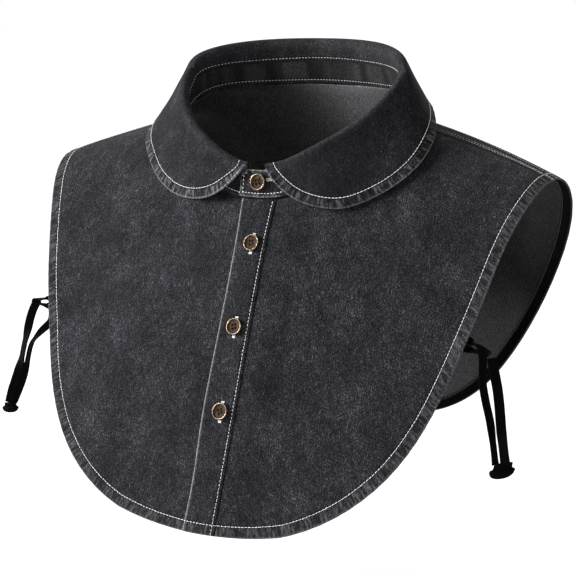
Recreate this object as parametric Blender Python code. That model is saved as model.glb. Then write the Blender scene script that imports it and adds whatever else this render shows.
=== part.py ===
"""Detachable denim shirt collar: a buttoned front bib, a back bib and a round shirt collar,
filled out as if worn, with a tape loop and a pair of tie strands at each side.

Metres, +Z up, +X to the wearer's left, -Y to the front.  The origin is the middle of the
neck base, level with the inner ends of the two shoulder seams.

The worn cloth is one surface, sheet(out, down): `out` is the distance from the centre line
and `down` is measured along the cloth from the shoulder ridge, positive in front and
negative behind.  Every piece that lies on the cloth is made from its points, moved out.
"""

import math

import bmesh
import bpy
import numpy as np
from mathutils import Vector

# ---- Cloth ---------------------------------------------------------------------------
SEAM_GAP = 0.0003
DENIM = 0.0012  # one layer with its seam allowance
BAND_CLOTH = 0.0022  # two layers and an interlining
LEAF_CLOTH = 0.0020
FACING_CLOTH = 0.0010
TAPE = 0.0012

# ---- Shoulder ridge ------------------------------------------------------------------
SHOULDER_HALF_WIDTH = 0.188
NECK_POINT_OUT = 0.062  # the ridge is level with the origin here
RIDGE_SLOPE = 0.29
RIDGE_CROWN = 0.003
TIP_FORWARD = 0.025

# ---- How the cloth turns down from the ridge, and how its sides sit back -------------
FRONT_TURN_CENTRE = 0.052  # length along the cloth in which most of the turn happens
FRONT_TURN_SIDE = 0.041
FRONT_STEEP_CENTRE = math.radians(76.5)
FRONT_STEEP_SIDE = math.radians(73.5)
FRONT_EASE = math.radians(2.0) / 0.1  # lost steepness per metre of cloth
BACK_TURN = 0.045
BACK_STEEP = math.radians(86.5)
BACK_SIDE_PUSH = 0.021
BACK_PUSH_LENGTH = 0.08
SET_BACK_LENGTH = 0.2
SET_BACK_MIDDLE = (0.065, -0.048)  # by the share of that length, and by its square
SET_BACK_SIDE = (-0.045, 0.043)
CLOTH_STEPS = 32  # in which the curve down the cloth is added up
CLOTH_PROBE = 0.0001  # between the points from which a direction on the cloth is read
TURN_PROBE = 0.001  # the same between turns and between shares

# ---- Outlines in the cloth's own plane -----------------------------------------------
OUTLINE_CENTRE_DOWN = 0.060
TIP_TURN = math.atan2(SHOULDER_HALF_WIDTH, -OUTLINE_CENTRE_DOWN)
TIP_REACH = math.hypot(SHOULDER_HALF_WIDTH, OUTLINE_CENTRE_DOWN)
# Reach of the outer edge from the outline's centre, at equal turns from the bottom
# middle round to the shoulder tip.
FRONT_REACH = (0.261, 0.2465, 0.218, 0.189, 0.175, 0.177, TIP_REACH)
BACK_REACH = (0.203, 0.196, 0.176, 0.166, 0.174, TIP_REACH)

# ---- Neck rings ----------------------------------------------------------------------
RING_CENTRE_Y = -0.027
SEAM_HALF_WIDTH = 0.084
SEAM_FRONT_DEPTH = 0.045
SEAM_BACK_DEPTH = 0.049
FOLD_HALF_WIDTH = 0.0795
FOLD_FRONT_DEPTH = 0.042
FOLD_BACK_DEPTH = 0.0395
FOLD_BACK_POINTEDNESS = 1.9  # 1 is an ellipse, and more draws the back's sides in
# turn from the front middle in degrees, height of the neck seam, height of the fold
RING_HEIGHTS = (
    (0, -0.0570, -0.0336),
    (15, -0.0545, -0.0298),
    (30, -0.0455, -0.0200),
    (60, -0.0250, 0.0020),
    (90, -0.0020, 0.0260),
    (120, 0.0110, 0.0380),
    (150, 0.0140, 0.0435),
    (180, 0.0150, 0.0450),
)
NECK_RISE_LENGTH = 0.045  # over which the cloth rises to the neck seam
NECK_RISE_AT_SHOULDER = 0.022  # the same beside the shoulder ridge
NECK_RISE_SHORTENS = (50.0, 90.0)  # turns between which it becomes the shoulder's
NECK_RISE_LENGTHENS = (120.0, 160.0)  # and the back's again
NECK_DOWN_LIMITS = (-0.15, 0.20)  # the neck seam crosses the cloth between these
NECK_HALVINGS = 40  # of the search between them

# ---- Neckband ------------------------------------------------------------------------
COLLAR_COLUMNS = 61  # round the whole ring, shared by the band and the leaf
BAND_HEIGHT = 0.0205
BAND_OUTER_END_OUT = -0.0123  # the buttoned end, over the front middle
BAND_UNDER_END_OUT = 0.0123
BAND_CORNER = 0.0045
BAND_END_COLUMNS = (0.0, 0.0006, 0.0018, 0.0045, 0.0090)  # along the band from each end
# How far the band's foot starts from the neck seam, to clear the bibs' raw edges.
BAND_FOOT_SIDE = 0.0013
BAND_FOOT_FRONT = 0.0018
BAND_FOOT_TURNS = (20.0, 80.0)  # it is the front's up to the first, and the side's from the second
BAND_FOOT_LAP = 0.30  # and this share of the lap
LAP_STEP = 0.0025  # the outer end stands this far out from the under end
LAP_FULL_TURN = 20.0
LAP_START_TURN = 60.0

# ---- Collar leaf ---------------------------------------------------------------------
LEAF_END_OUT = 0.0074
LEAF_FOOT_GAP = 0.0004
LEAF_END_COLUMNS = (0.0, 0.0010, 0.0025, 0.0050, 0.0085)
ROLL_RADIUS = 0.0026
ROLL_RADIUS_FRONT = 0.0014  # at the leaf's two front ends, where the stand is short
ROLL_TIGHT_TURN = 8.0
ROLL_FULL_TURN = 30.0
ROLL_DEGREES = (135, 90, 45)  # rows round the roll, from the stand to the fall
STAND_ROW_SHARE = 0.98  # of the stand's height, for its upper row
FALL_SHARES = (0.0, 0.2, 0.4, 0.6, 0.8, 1.0)
LEAF_HOLLOW = 0.0008  # depth of the slight hollow in the fall, where it is this long or more
LEAF_FULL_FALL = 0.045
# The free edge, by its turn in the cloth's plane about a point on the centre line, in
# degrees; then the turn at the fold, the reach of the right and of the left leaf, and the
# height off the cloth.  It starts at the leaf's rounded front end and stops at the back.
LEAF_CENTRE_DOWN = 0.030
LEAF_EDGE = (
    (9, 5.2, 0.0560, 0.0560, 0.0145),
    (25, 17.0, 0.0795, 0.0779, 0.0065),
    (42, 33.0, 0.0907, 0.0919, 0.0042),
    (60, 53.0, 0.0976, 0.0997, 0.0032),
    (76, 72.0, 0.1038, 0.1063, 0.0034),
    (92, 90.0, 0.1095, 0.1080, 0.0048),
    (107, 106.0, 0.0980, 0.0980, 0.0055),
    (124, 123.0, 0.0890, 0.0890, 0.0050),
    (150, 150.0, 0.0780, 0.0780, 0.0042),
    (180, 180.0, 0.0720, 0.0720, 0.0040),
)

# ---- Front opening -------------------------------------------------------------------
PLACKET_SEWN_OUT = 0.0152
# The worn free fold wanders: share of the way from the neck seam to the hem, and out.
PLACKET_FREE_EDGE = (
    (0.0, -0.0098),
    (0.12, -0.0076),
    (0.30, -0.0071),
    (0.48, -0.0080),
    (0.68, -0.0086),
    (0.86, -0.0072),
    (1.0, -0.0080),
)
LEFT_FRONT_OUT = -0.0065  # the left front ends inside the placket's free fold
UNDER_FRONT_OUT = 0.0140  # how far the right front runs in behind the left
FRONT_LAP = 0.0017
LAP_RAMP_START_OUT = 0.018
LAP_RAMP_END_OUT = 0.048

# ---- Grids and edges -----------------------------------------------------------------
FRONT_COLUMNS = 34
# Rows of a bib from the neck to its hem, close together where the cloth rises to the neck.
BODY_SHARES = (0, 0.035, 0.07, 0.105, 0.14, 0.175, 0.21, 0.26, 0.33, 0.42, 0.53, 0.65, 0.77, 0.89, 1)
PLACKET_COLUMNS = 4
PLACKET_ROWS = 25
BAND_ROWS = 4
HEM_WIDTH = 0.0070
HEM_DEPTH = 0.0010  # the turned hem adds this on the inside
HEM_STEP = 0.0010  # over which it does
HEM_CLEAR_OF_LAP = 0.012  # the hem is full this far past the start of the lap's ramp
FACING_WIDTH = 0.0070
FACING_INSET = 0.0008
FACING_END_SHARE = 0.0008  # of the back's turn, by which the facing stops short at each end
BACK_COLUMNS = 47

# ---- Buttons -------------------------------------------------------------------------
BUTTON_RADIUS = 0.0055
BUTTON_THICKNESS = 0.0026
BUTTON_RIM = 0.0011
BUTTON_DISH = 0.0008
BUTTON_HOLE_RADIUS = 0.00065
BUTTON_HOLE_PITCH = 0.0024
BUTTON_PLACES = ((0.0062, 0.1319), (0.0053, 0.1872), (0.0059, 0.2422))  # out, down
NECK_BUTTON_TURN = math.radians(-1.85)
NECK_BUTTON_SHARE = 0.62  # of the band's height
NECK_BUTTON_SPIN = 0.25  # each button is sewn on turned a little differently
BUTTON_SPIN_STEP = 0.1

# ---- Side loops and ties -------------------------------------------------------------
LOOP_WIDTH = 0.0044
LOOP_SEWN = 0.0062  # how far each leg of a loop runs in behind the hem
LOOP_LEG_SPREAD = 0.0054
LOOP_TIP_SPREAD = 0.0034
LOOP_TURNED_SHARE = 0.45  # of the way from the hem to the tip, where the tape is on edge
LOOP_TIP_ARC = (60, 30, 0, -30, -60)  # degrees round the tip
LOOP_ROWS = 49
LOOP_CLEARANCE = 0.0005
SIDE_EDGE_TURN = 0.3  # past this the front's edge only rises
# side: how far down the front's edge the loop sits, and its tip (out, back, up)
LOOPS = {
    "left": (0.1415, (0.1742, -0.0888, -0.1362)),
    "right": (0.1465, (-0.1768, -0.0884, -0.1374)),
}
TIE_ACROSS = (0.86, 0.51, 0.0)
TIE_ROWS_PER_POINT = 2
# Each strand: its width, then its route from the loop to the tie end, as out, back, up.
TIES = {
    "left_rear": (
        0.0050,
        (
            (0.1702, -0.0932, -0.1319),
            (0.1715, -0.0934, -0.1351),
            (0.1720, -0.0931, -0.1386),
            (0.1720, -0.0926, -0.1441),
            (0.1718, -0.0920, -0.1530),
            (0.1723, -0.0912, -0.1590),
            (0.1740, -0.0907, -0.1674),
            (0.1766, -0.0904, -0.1780),
            (0.1790, -0.0903, -0.1927),
            (0.1806, -0.0903, -0.2040),
        ),
    ),
    "left_fore": (
        0.0062,
        (
            (0.1776, -0.0926, -0.1377),
            (0.1791, -0.0928, -0.1439),
            (0.1805, -0.0928, -0.1500),
            (0.1819, -0.0929, -0.1560),
            (0.1832, -0.0928, -0.1648),
            (0.1841, -0.0926, -0.1737),
            (0.1850, -0.0925, -0.1823),
            (0.1862, -0.0924, -0.1908),
            (0.1870, -0.0923, -0.1965),
            (0.1880, -0.0922, -0.2031),
        ),
    ),
    "right_fore": (
        0.0060,
        (
            (-0.1680, -0.0950, -0.1343),
            (-0.1697, -0.0952, -0.1378),
            (-0.1725, -0.0947, -0.1420),
            (-0.1761, -0.0935, -0.1482),
            (-0.1787, -0.0928, -0.1546),
            (-0.1813, -0.0925, -0.1621),
            (-0.1840, -0.0924, -0.1708),
            (-0.1868, -0.0923, -0.1809),
            (-0.1897, -0.0922, -0.1880),
            (-0.1932, -0.0921, -0.1962),
            (-0.1966, -0.0920, -0.2040),
            (-0.1996, -0.0919, -0.2134),
        ),
    ),
    "right_rear": (
        0.0056,
        (
            (-0.1650, -0.0846, -0.1375),
            (-0.1630, -0.0854, -0.1415),
            (-0.1620, -0.0863, -0.1463),
            (-0.1630, -0.0869, -0.1509),
            (-0.1667, -0.0874, -0.1546),
            (-0.1713, -0.0876, -0.1585),
            (-0.1764, -0.0876, -0.1636),
            (-0.1798, -0.0875, -0.1671),
            (-0.1820, -0.0875, -0.1715),
            (-0.1834, -0.0875, -0.1758),
            (-0.1851, -0.0875, -0.1819),
            (-0.1872, -0.0875, -0.1879),
            (-0.1902, -0.0876, -0.1963),
            (-0.1946, -0.0878, -0.2059),
            (-0.1987, -0.0881, -0.2139),
        ),
    ),
}
# The flared end in which a side's strands are pressed together: middle, lean outwards, size.
TIE_ENDS = {
    "left": ((0.1853, -0.0912, -0.2075), 0.15, 1.0),
    "right": ((-0.1999, -0.0902, -0.2182), 0.02, 0.76),
}
TIE_END_HEIGHT = 0.0078
TIE_END_DEPTH = 0.0062
TIE_END_SIDES = 14
TIE_END_TURN = math.radians(30)  # each end lies across its strands
# share of the height from the bottom up, and half-width
TIE_END_FLARE = (
    (0.0, 0.0030),
    (0.12, 0.0055),
    (0.35, 0.0072),
    (0.60, 0.0078),
    (0.78, 0.0070),
    (1.0, 0.0058),
)


# ---- Curves and surfaces -------------------------------------------------------------
def curve_through(knots, values, at, flat_start=True, flat_end=False):
    """Cubic curve through the values, with each end flat or free."""
    knots = np.asarray(knots, float)
    values = np.asarray(values, float)
    gaps = np.diff(knots)
    slopes = np.diff(values) / gaps
    count = len(knots)
    system = np.zeros((count, count))
    wanted = np.zeros(count)
    system[0, 0] = 1
    if flat_start:
        system[0, :2] = 2 * gaps[0], gaps[0]
        wanted[0] = 6 * slopes[0]
    for row in range(1, count - 1):
        before, after = gaps[row - 1], gaps[row]
        system[row, row - 1 : row + 2] = before, 2 * (before + after), after
        wanted[row] = 6 * (slopes[row] - slopes[row - 1])
    system[-1, -1] = 1
    if flat_end:
        system[-1, -2:] = gaps[-1], 2 * gaps[-1]
        wanted[-1] = -6 * slopes[-1]
    bends = np.linalg.solve(system, wanted)
    at = np.asarray(at, float)
    span = np.clip(np.searchsorted(knots, at) - 1, 0, count - 2)
    past = at - knots[span]
    left = knots[span + 1] - at
    width = gaps[span]
    curved = (bends[span] * left**3 + bends[span + 1] * past**3) / (6 * width)
    low = (values[span] / width - bends[span] * width / 6) * left
    high = (values[span + 1] / width - bends[span + 1] * width / 6) * past
    return curved + low + high


def smooth_step(value, start, end):
    """0 up to start, 1 from end on, and a smooth rise between."""
    share = np.clip((value - start) / (end - start), 0.0, 1.0)
    return share * share * (3 - 2 * share)


def unit(vectors):
    return vectors / np.linalg.norm(vectors, axis=-1, keepdims=True)


def shoulder_ridge(out):
    """Back and height of the shoulder ridge at these distances from the middle."""
    reach = np.abs(out)
    share = reach / SHOULDER_HALF_WIDTH
    past_neck = (reach - NECK_POINT_OUT) / (SHOULDER_HALF_WIDTH - NECK_POINT_OUT)
    past_neck = np.clip(past_neck, 0.0, 1.0)
    sloping = -RIDGE_SLOPE * (reach - NECK_POINT_OUT) + 4 * RIDGE_CROWN * past_neck * (1 - past_neck)
    rounded = RIDGE_SLOPE * (NECK_POINT_OUT**2 - reach**2) / (2 * NECK_POINT_OUT)
    return -TIP_FORWARD * share**2, np.where(reach < NECK_POINT_OUT, rounded, sloping)


def sheet(out, down):
    """Points of the worn cloth: out from the middle, down along the cloth from the ridge."""
    out, down = np.broadcast_arrays(np.asarray(out, float), np.asarray(down, float))
    share = np.abs(out) / SHOULDER_HALF_WIDTH
    length = np.abs(down)
    in_front = down >= 0
    turn = np.where(
        in_front,
        FRONT_TURN_CENTRE + (FRONT_TURN_SIDE - FRONT_TURN_CENTRE) * share**2,
        BACK_TURN,
    )
    steep = np.where(
        in_front,
        FRONT_STEEP_CENTRE + (FRONT_STEEP_SIDE - FRONT_STEEP_CENTRE) * share**2,
        BACK_STEEP,
    )
    ease = np.where(in_front, FRONT_EASE, 0.0)
    forward = np.zeros_like(length)
    drop = np.zeros_like(length)
    for step in range(CLOTH_STEPS):
        walked = length * (step + 0.5) / CLOTH_STEPS
        dip = steep * (1 - np.exp(-walked / turn)) - ease * walked
        forward += np.cos(dip) * length / CLOTH_STEPS
        drop += np.sin(dip) * length / CLOTH_STEPS
    part = length / SET_BACK_LENGTH
    middle = SET_BACK_MIDDLE[0] * part + SET_BACK_MIDDLE[1] * part**2
    side = SET_BACK_SIDE[0] * part + SET_BACK_SIDE[1] * part**2
    set_back = share**2 * middle + share**4 * side
    push = BACK_SIDE_PUSH * share**2 * (1 - np.exp(-length / BACK_PUSH_LENGTH))
    ridge_back, ridge_up = shoulder_ridge(out)
    back = np.where(in_front, ridge_back - forward + set_back, ridge_back + forward + push)
    return np.stack([out, back, ridge_up - drop], axis=-1)


def sheet_normal(out, down):
    """Unit normals of the worn cloth, pointing away from the wearer."""
    base = sheet(out, down)
    across = sheet(out + CLOTH_PROBE, down) - base
    return unit(np.cross(across, sheet(out, down - CLOTH_PROBE) - base))


def outer_edge(turn, in_front):
    """Out and down of the bib's outer edge, by the turn from its bottom middle."""
    reaches = FRONT_REACH if in_front else BACK_REACH
    knots = np.linspace(0.0, TIP_TURN, len(reaches))
    reach = curve_through(knots, reaches, np.abs(turn))
    down = OUTLINE_CENTRE_DOWN + reach * np.cos(turn)
    return reach * np.sin(turn), down if in_front else -down


def ring(turn, half_width, front_depth, back_depth, column, pointedness=1.0):
    """Points of a neck ring: turn 0 is the front middle, and it rises towards +X."""
    degrees = np.abs(np.degrees(np.arctan2(np.sin(turn), np.cos(turn))))
    backward = -np.cos(turn)
    behind = back_depth * np.maximum(backward, 0.0) ** pointedness
    table = np.array(RING_HEIGHTS)
    height = curve_through(table[:, 0], table[:, column], degrees, flat_end=True)
    back = RING_CENTRE_Y + behind + front_depth * np.minimum(backward, 0.0)
    return np.stack([half_width * np.sin(turn), back, height], axis=-1)


def seam_ring(turn):
    return ring(turn, SEAM_HALF_WIDTH, SEAM_FRONT_DEPTH, SEAM_BACK_DEPTH, 1)


def fold_ring(turn):
    return ring(turn, FOLD_HALF_WIDTH, FOLD_FRONT_DEPTH, FOLD_BACK_DEPTH, 2, FOLD_BACK_POINTEDNESS)


def neck_on_cloth(turn):
    """Out and down on the cloth, straight under or over the neck seam, and the rise to it."""
    seam = seam_ring(turn)
    low = np.full(seam.shape[:-1], NECK_DOWN_LIMITS[0])
    high = np.full(seam.shape[:-1], NECK_DOWN_LIMITS[1])
    for _ in range(NECK_HALVINGS):
        middle = (low + high) / 2
        behind = sheet(seam[..., 0], middle)[..., 1] > seam[..., 1]
        low = np.where(behind, middle, low)
        high = np.where(behind, high, middle)
    rise = seam[..., 2] - sheet(seam[..., 0], low)[..., 2]
    return seam[..., 0], low, rise


def shoulder_turn():
    """Turn at which the neck seam crosses the shoulder ridge."""
    turns = np.radians(np.linspace(80.0, 150.0, 400))
    return float(np.interp(0.0, -neck_on_cloth(turns)[1], turns))


SHOULDER_TURN = shoulder_turn()


def front_lap(out):
    """How far the left front stands out from the cloth to pass over the right front."""
    return FRONT_LAP * (1 - smooth_step(out, LAP_RAMP_START_OUT, LAP_RAMP_END_OUT))


def rise_left(turn, away):
    """Share of the cloth's rise that is left at this distance from the neck seam."""
    degrees = np.degrees(np.arccos(np.cos(turn)))
    beside = smooth_step(degrees, *NECK_RISE_SHORTENS) - smooth_step(degrees, *NECK_RISE_LENGTHENS)
    length = NECK_RISE_LENGTH + (NECK_RISE_AT_SHOULDER - NECK_RISE_LENGTH) * beside
    return 1 - smooth_step(away / length, 0.0, 1.0)


def bib(neck_turn, edge_turn, share, in_front, seam_edge=None):
    """Points of a bib, at a share of the way from the neck seam to the outer edge.

    With seam_edge, they stay at least this far from the shoulder ridge."""
    neck_out, neck_down, rise = neck_on_cloth(neck_turn)
    edge_out, edge_down = outer_edge(edge_turn, in_front)
    out = neck_out + (edge_out - neck_out) * share
    down = neck_down + (edge_down - neck_down) * share
    if seam_edge:
        down = np.maximum(down, seam_edge) if in_front else np.minimum(down, -seam_edge)
    from_neck = share * np.hypot(edge_out - neck_out, edge_down - neck_down)
    points = sheet(out, down)
    points[..., 2] += rise * rise_left(neck_turn, from_neck)
    return points


def bib_normals(neck_turn, edge_turn, share, in_front):
    """Unit normals of a bib, pointing away from the wearer.

    The back's edge turn falls as its neck turn rises."""
    side = 1.0 if in_front else -1.0
    along = bib(neck_turn, edge_turn, share + TURN_PROBE, in_front)
    along = along - bib(neck_turn, edge_turn, share - TURN_PROBE, in_front)
    across = bib(neck_turn + TURN_PROBE, edge_turn + side * TURN_PROBE, share, in_front)
    across = across - bib(neck_turn - TURN_PROBE, edge_turn - side * TURN_PROBE, share, in_front)
    return unit(np.cross(along, across))


def edge_shares(neck_turn, edge_turn, in_front, from_edge):
    """Shares of the way from neck to edge that lie these distances from the edge."""
    neck_out, neck_down, _ = neck_on_cloth(neck_turn)
    edge_out, edge_down = outer_edge(edge_turn, in_front)
    length = np.hypot(edge_out - neck_out, edge_down - neck_down)
    return 1 - np.asarray(from_edge)[:, None] / length[None, :]


# ---- Meshes --------------------------------------------------------------------------
def solid_from_grids(name, outer, inner):
    """A closed wall between two grids of points of the same size."""
    rows, columns = outer.shape[:2]
    mesh = bmesh.new()
    skins = []
    for grid in (outer, inner):
        skins.append([[mesh.verts.new(grid[i, j]) for j in range(columns)] for i in range(rows)])
    top, under = skins
    for i in range(rows - 1):
        for j in range(columns - 1):
            mesh.faces.new((top[i][j], top[i + 1][j], top[i + 1][j + 1], top[i][j + 1]))
            mesh.faces.new((under[i][j], under[i][j + 1], under[i + 1][j + 1], under[i + 1][j]))
    rim = [(0, j) for j in range(columns)]
    rim += [(i, columns - 1) for i in range(1, rows)]
    rim += [(rows - 1, j) for j in range(columns - 2, -1, -1)]
    rim += [(i, 0) for i in range(rows - 2, 0, -1)]
    for (i, j), (k, m) in zip(rim, rim[1:] + rim[:1]):
        mesh.faces.new((top[i][j], top[k][m], under[k][m], under[i][j]))
    bmesh.ops.recalc_face_normals(mesh, faces=mesh.faces)
    return mesh_object(name, mesh)


def mesh_object(name, mesh):
    """A scene object from a bmesh, shaded smooth but for its sharp edges."""
    data = bpy.data.meshes.new(name)
    mesh.to_mesh(data)
    mesh.free()
    data.shade_smooth()
    data.set_sharp_from_angle(angle=math.radians(40))
    made = bpy.data.objects.new(name, data)
    bpy.context.scene.collection.objects.link(made)
    return made


def dressed(made, material):
    made.data.materials.append(material)
    return made


def plain_material(name, colour, roughness, metallic=0.0):
    """A Principled material of one colour."""
    material = bpy.data.materials.new(name)
    material.use_nodes = True
    shader = material.node_tree.nodes["Principled BSDF"]
    shader.inputs["Base Color"].default_value = (*colour, 1.0)
    shader.inputs["Roughness"].default_value = roughness
    shader.inputs["Metallic"].default_value = metallic
    return material


# ---- Bibs ----------------------------------------------------------------------------
def front_turns(first_out, columns):
    """Neck and edge turns of a front's columns, from its centre edge to the shoulder seam."""
    neck_first = math.asin(first_out / SEAM_HALF_WIDTH)
    edge_first = math.asin(first_out / FRONT_REACH[0])
    spread = np.linspace(0.0, 1.0, columns)
    neck = neck_first + (SHOULDER_TURN - neck_first) * spread
    return neck, edge_first + (TIP_TURN - edge_first) * spread


def front_bib(name, material, mirrored):
    """One front: a wall with a turned hem that is thicker on the inside.

    Both fronts are worked out on the +X side and the right one is mirrored.  The left
    front passes over the right, so it stands out near the front middle."""
    first_out = -UNDER_FRONT_OUT if mirrored else LEFT_FRONT_OUT
    neck, edge = front_turns(first_out, FRONT_COLUMNS)
    body = np.array(BODY_SHARES)[:-1, None]
    hem = edge_shares(neck, edge, True, (HEM_WIDTH + HEM_STEP, HEM_WIDTH, 0.0))
    share = np.vstack([body * hem[0], hem])
    points = bib(neck[None, :], edge[None, :], share, True, seam_edge=SEAM_GAP / 2)
    normals = bib_normals(neck[None, :], edge[None, :], share, True)
    out = points[..., 0]
    lap = np.zeros_like(out) if mirrored else front_lap(out)
    hem_depth = np.zeros_like(out)
    clear_of_lap = smooth_step(out, LAP_RAMP_START_OUT, LAP_RAMP_START_OUT + HEM_CLEAR_OF_LAP)
    hem_depth[-2:] = HEM_DEPTH * (1.0 if mirrored else clear_of_lap[-2:])
    outer = points + normals * (lap + DENIM / 2)[..., None]
    inner = points + normals * (lap - DENIM / 2 - hem_depth)[..., None]
    if mirrored:
        flip = np.array([-1.0, 1.0, 1.0])
        outer, inner = outer * flip, inner * flip
    return dressed(solid_from_grids(name, outer, inner), material)


def back_turns():
    """Neck and edge turns of the back's columns, from the left shoulder to the right."""
    spread = np.linspace(0.0, 1.0, BACK_COLUMNS)
    facing = np.concatenate([[FACING_END_SHARE], spread[1:-1], [1.0 - FACING_END_SHARE]])
    spread = np.concatenate([[0.0], facing, [1.0]])
    neck = SHOULDER_TURN + (2 * math.pi - 2 * SHOULDER_TURN) * spread
    return neck, TIP_TURN * (1.0 - 2.0 * spread)


def back_shares(neck, edge):
    """Rows of the back, as shares of the way from the neck to the edge."""
    hem = edge_shares(neck, edge, False, (FACING_WIDTH, FACING_INSET, 0.0))
    return np.vstack([np.array(BODY_SHARES)[:-1, None] * hem[0], hem])


def back_points(neck, edge, share):
    """Points and outward normals of the back."""
    points = bib(neck, edge, share, False, seam_edge=SEAM_GAP / 2)
    return points, bib_normals(neck, edge, share, False)


def back_bib(material):
    neck, edge = back_turns()
    points, normals = back_points(neck[None, :], edge[None, :], back_shares(neck, edge))
    outer = points + normals * (DENIM / 2)
    inner = points - normals * (DENIM / 2)
    return dressed(solid_from_grids("back", outer, inner), material)


def back_facing(material):
    """The facing sewn round the inside of the back's armholes and hem."""
    neck, edge = back_turns()
    neck, edge = neck[1:-1], edge[1:-1]
    share = back_shares(neck, edge)[-3:-1]
    points, normals = back_points(neck[None, :], edge[None, :], share)
    near = DENIM / 2 + SEAM_GAP
    outer = points - normals * near
    inner = points - normals * (near + FACING_CLOTH)
    return dressed(solid_from_grids("back_facing", outer, inner), material)


def free_edge_out(share):
    """Out of the placket's free edge, by the share of the way from the neck to the hem."""
    shares, outs = np.array(PLACKET_FREE_EDGE).T
    return curve_through(shares, outs, share, flat_start=False)


def placket(material):
    """The button strip on the left front, made from that front's points, moved out."""
    share = np.linspace(0.0, 1.0, PLACKET_ROWS)[:, None]
    across = np.linspace(0.0, 1.0, PLACKET_COLUMNS)[None, :]
    free = free_edge_out(share)
    out = free + (PLACKET_SEWN_OUT - free) * across
    neck = np.arcsin(out / SEAM_HALF_WIDTH)
    edge = np.arcsin(out / FRONT_REACH[0])
    points = bib(neck, edge, share, True)
    normals = bib_normals(neck, edge, share, True)
    near = FRONT_LAP + DENIM / 2 + SEAM_GAP
    outer = points + normals * (near + DENIM)
    inner = points + normals * near
    return dressed(solid_from_grids("placket", outer, inner), material)


# ---- Neckband and collar leaf --------------------------------------------------------
def lap_out(turn):
    """How far the outer end of the neckband stands out, by the unwrapped turn."""
    from_front = 360.0 - np.degrees(turn)
    return LAP_STEP * (1 - smooth_step(from_front, LAP_FULL_TURN, LAP_START_TURN))


def band_frame(turn):
    """Seam point, upward and outward directions of the neckband.

    The turn runs from the under end, on the wearer's left, past the front middle to the
    right side, round the back, and to the outer end: it is minus the ring's own turn."""
    seam = seam_ring(-turn)
    up = unit(fold_ring(-turn) - seam)
    along = unit(seam_ring(-turn - TURN_PROBE) - seam_ring(-turn + TURN_PROBE))
    outward = unit(np.cross(up, along))
    return seam + outward * lap_out(turn)[..., None], up, outward


def corner_drop(from_end):
    """How much lower the rounded end of the band is, by the distance from its end."""
    inside = np.clip(BAND_CORNER - from_end, 0.0, BAND_CORNER)
    return BAND_CORNER - np.sqrt(BAND_CORNER**2 - inside**2)


def band_foot(turn):
    """Gap along the band from the neck seam, so that its foot clears the bibs' edges."""
    seam_turn = np.minimum(np.abs(turn), np.abs(2 * math.pi - turn))
    at_side = smooth_step(np.degrees(seam_turn), *BAND_FOOT_TURNS)
    foot = BAND_FOOT_FRONT + (BAND_FOOT_SIDE - BAND_FOOT_FRONT) * at_side
    return foot + BAND_FOOT_LAP * lap_out(turn)


def collar_turns(first, last, from_ends):
    """Turns of a collar piece's columns: its own near its ends, and shared ones between."""
    shared = np.radians(np.linspace(0.0, 360.0, COLLAR_COLUMNS))
    near = np.asarray(from_ends)
    shared = shared[(shared > first + near[-1]) & (shared < last - near[-1])]
    return np.concatenate([first + near, shared, last - near[::-1]])


def neckband(material):
    first = -math.asin(BAND_UNDER_END_OUT / SEAM_HALF_WIDTH)
    last = 2 * math.pi + math.asin(-BAND_OUTER_END_OUT / SEAM_HALF_WIDTH)
    turn = collar_turns(first, last, np.array(BAND_END_COLUMNS) / SEAM_HALF_WIDTH)
    seam, up, outward = band_frame(turn)
    from_end = np.minimum(turn - first, last - turn) * SEAM_HALF_WIDTH
    height = BAND_HEIGHT - corner_drop(from_end)
    foot = band_foot(turn)
    share = np.linspace(0.0, 1.0, BAND_ROWS)[:, None]
    rise = foot + (height - foot) * share
    middle = seam[None] + up[None] * rise[..., None]
    half = outward[None] * (BAND_CLOTH / 2)
    return dressed(solid_from_grids("neckband", middle + half, middle - half), material)


def leaf_edge(turn):
    """Points of the leaf's free edge, by the turn at the fold, from the band's under end."""
    edge_turn, fold_turn, right_reach, left_reach, height = np.array(LEAF_EDGE).T
    on_left = np.degrees(turn) > 180.0
    folded = np.where(on_left, 360.0 - np.degrees(turn), np.degrees(turn))
    around = curve_through(fold_turn, edge_turn, folded, flat_start=False)
    right = curve_through(edge_turn, right_reach, around, flat_start=False, flat_end=True)
    left = curve_through(edge_turn, left_reach, around, flat_start=False, flat_end=True)
    reach = np.where(on_left, left, right)
    off = curve_through(edge_turn, height, around, flat_start=False, flat_end=True)
    out = reach * np.sin(np.radians(around))
    down = LEAF_CENTRE_DOWN + reach * np.cos(np.radians(around))
    points = sheet(out, down) + sheet_normal(out, down) * off[..., None]
    points[..., 2] += neck_rise_near(out, down)
    points[..., 0] *= np.where(on_left, 1.0, -1.0)
    return points


def neck_rise_near(out, down):
    """The cloth's rise towards the neck seam, at points beyond the seam."""
    turns = np.linspace(0.0, math.pi, 181)
    seam_out, seam_down, rise = neck_on_cloth(turns)
    away = np.hypot(out[..., None] - seam_out, down[..., None] - seam_down)
    nearest = away.argmin(axis=-1)
    distance = np.take_along_axis(away, nearest[..., None], axis=-1)[..., 0]
    return rise[nearest] * rise_left(turns[nearest], distance)


def roll_radius(turn):
    """Radius of the roll at the fold, tighter at the leaf's two front ends."""
    from_front = np.degrees(np.minimum(turn, 2 * math.pi - turn))
    full = smooth_step(from_front, ROLL_TIGHT_TURN, ROLL_FULL_TURN)
    return ROLL_RADIUS_FRONT + (ROLL_RADIUS - ROLL_RADIUS_FRONT) * full


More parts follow.
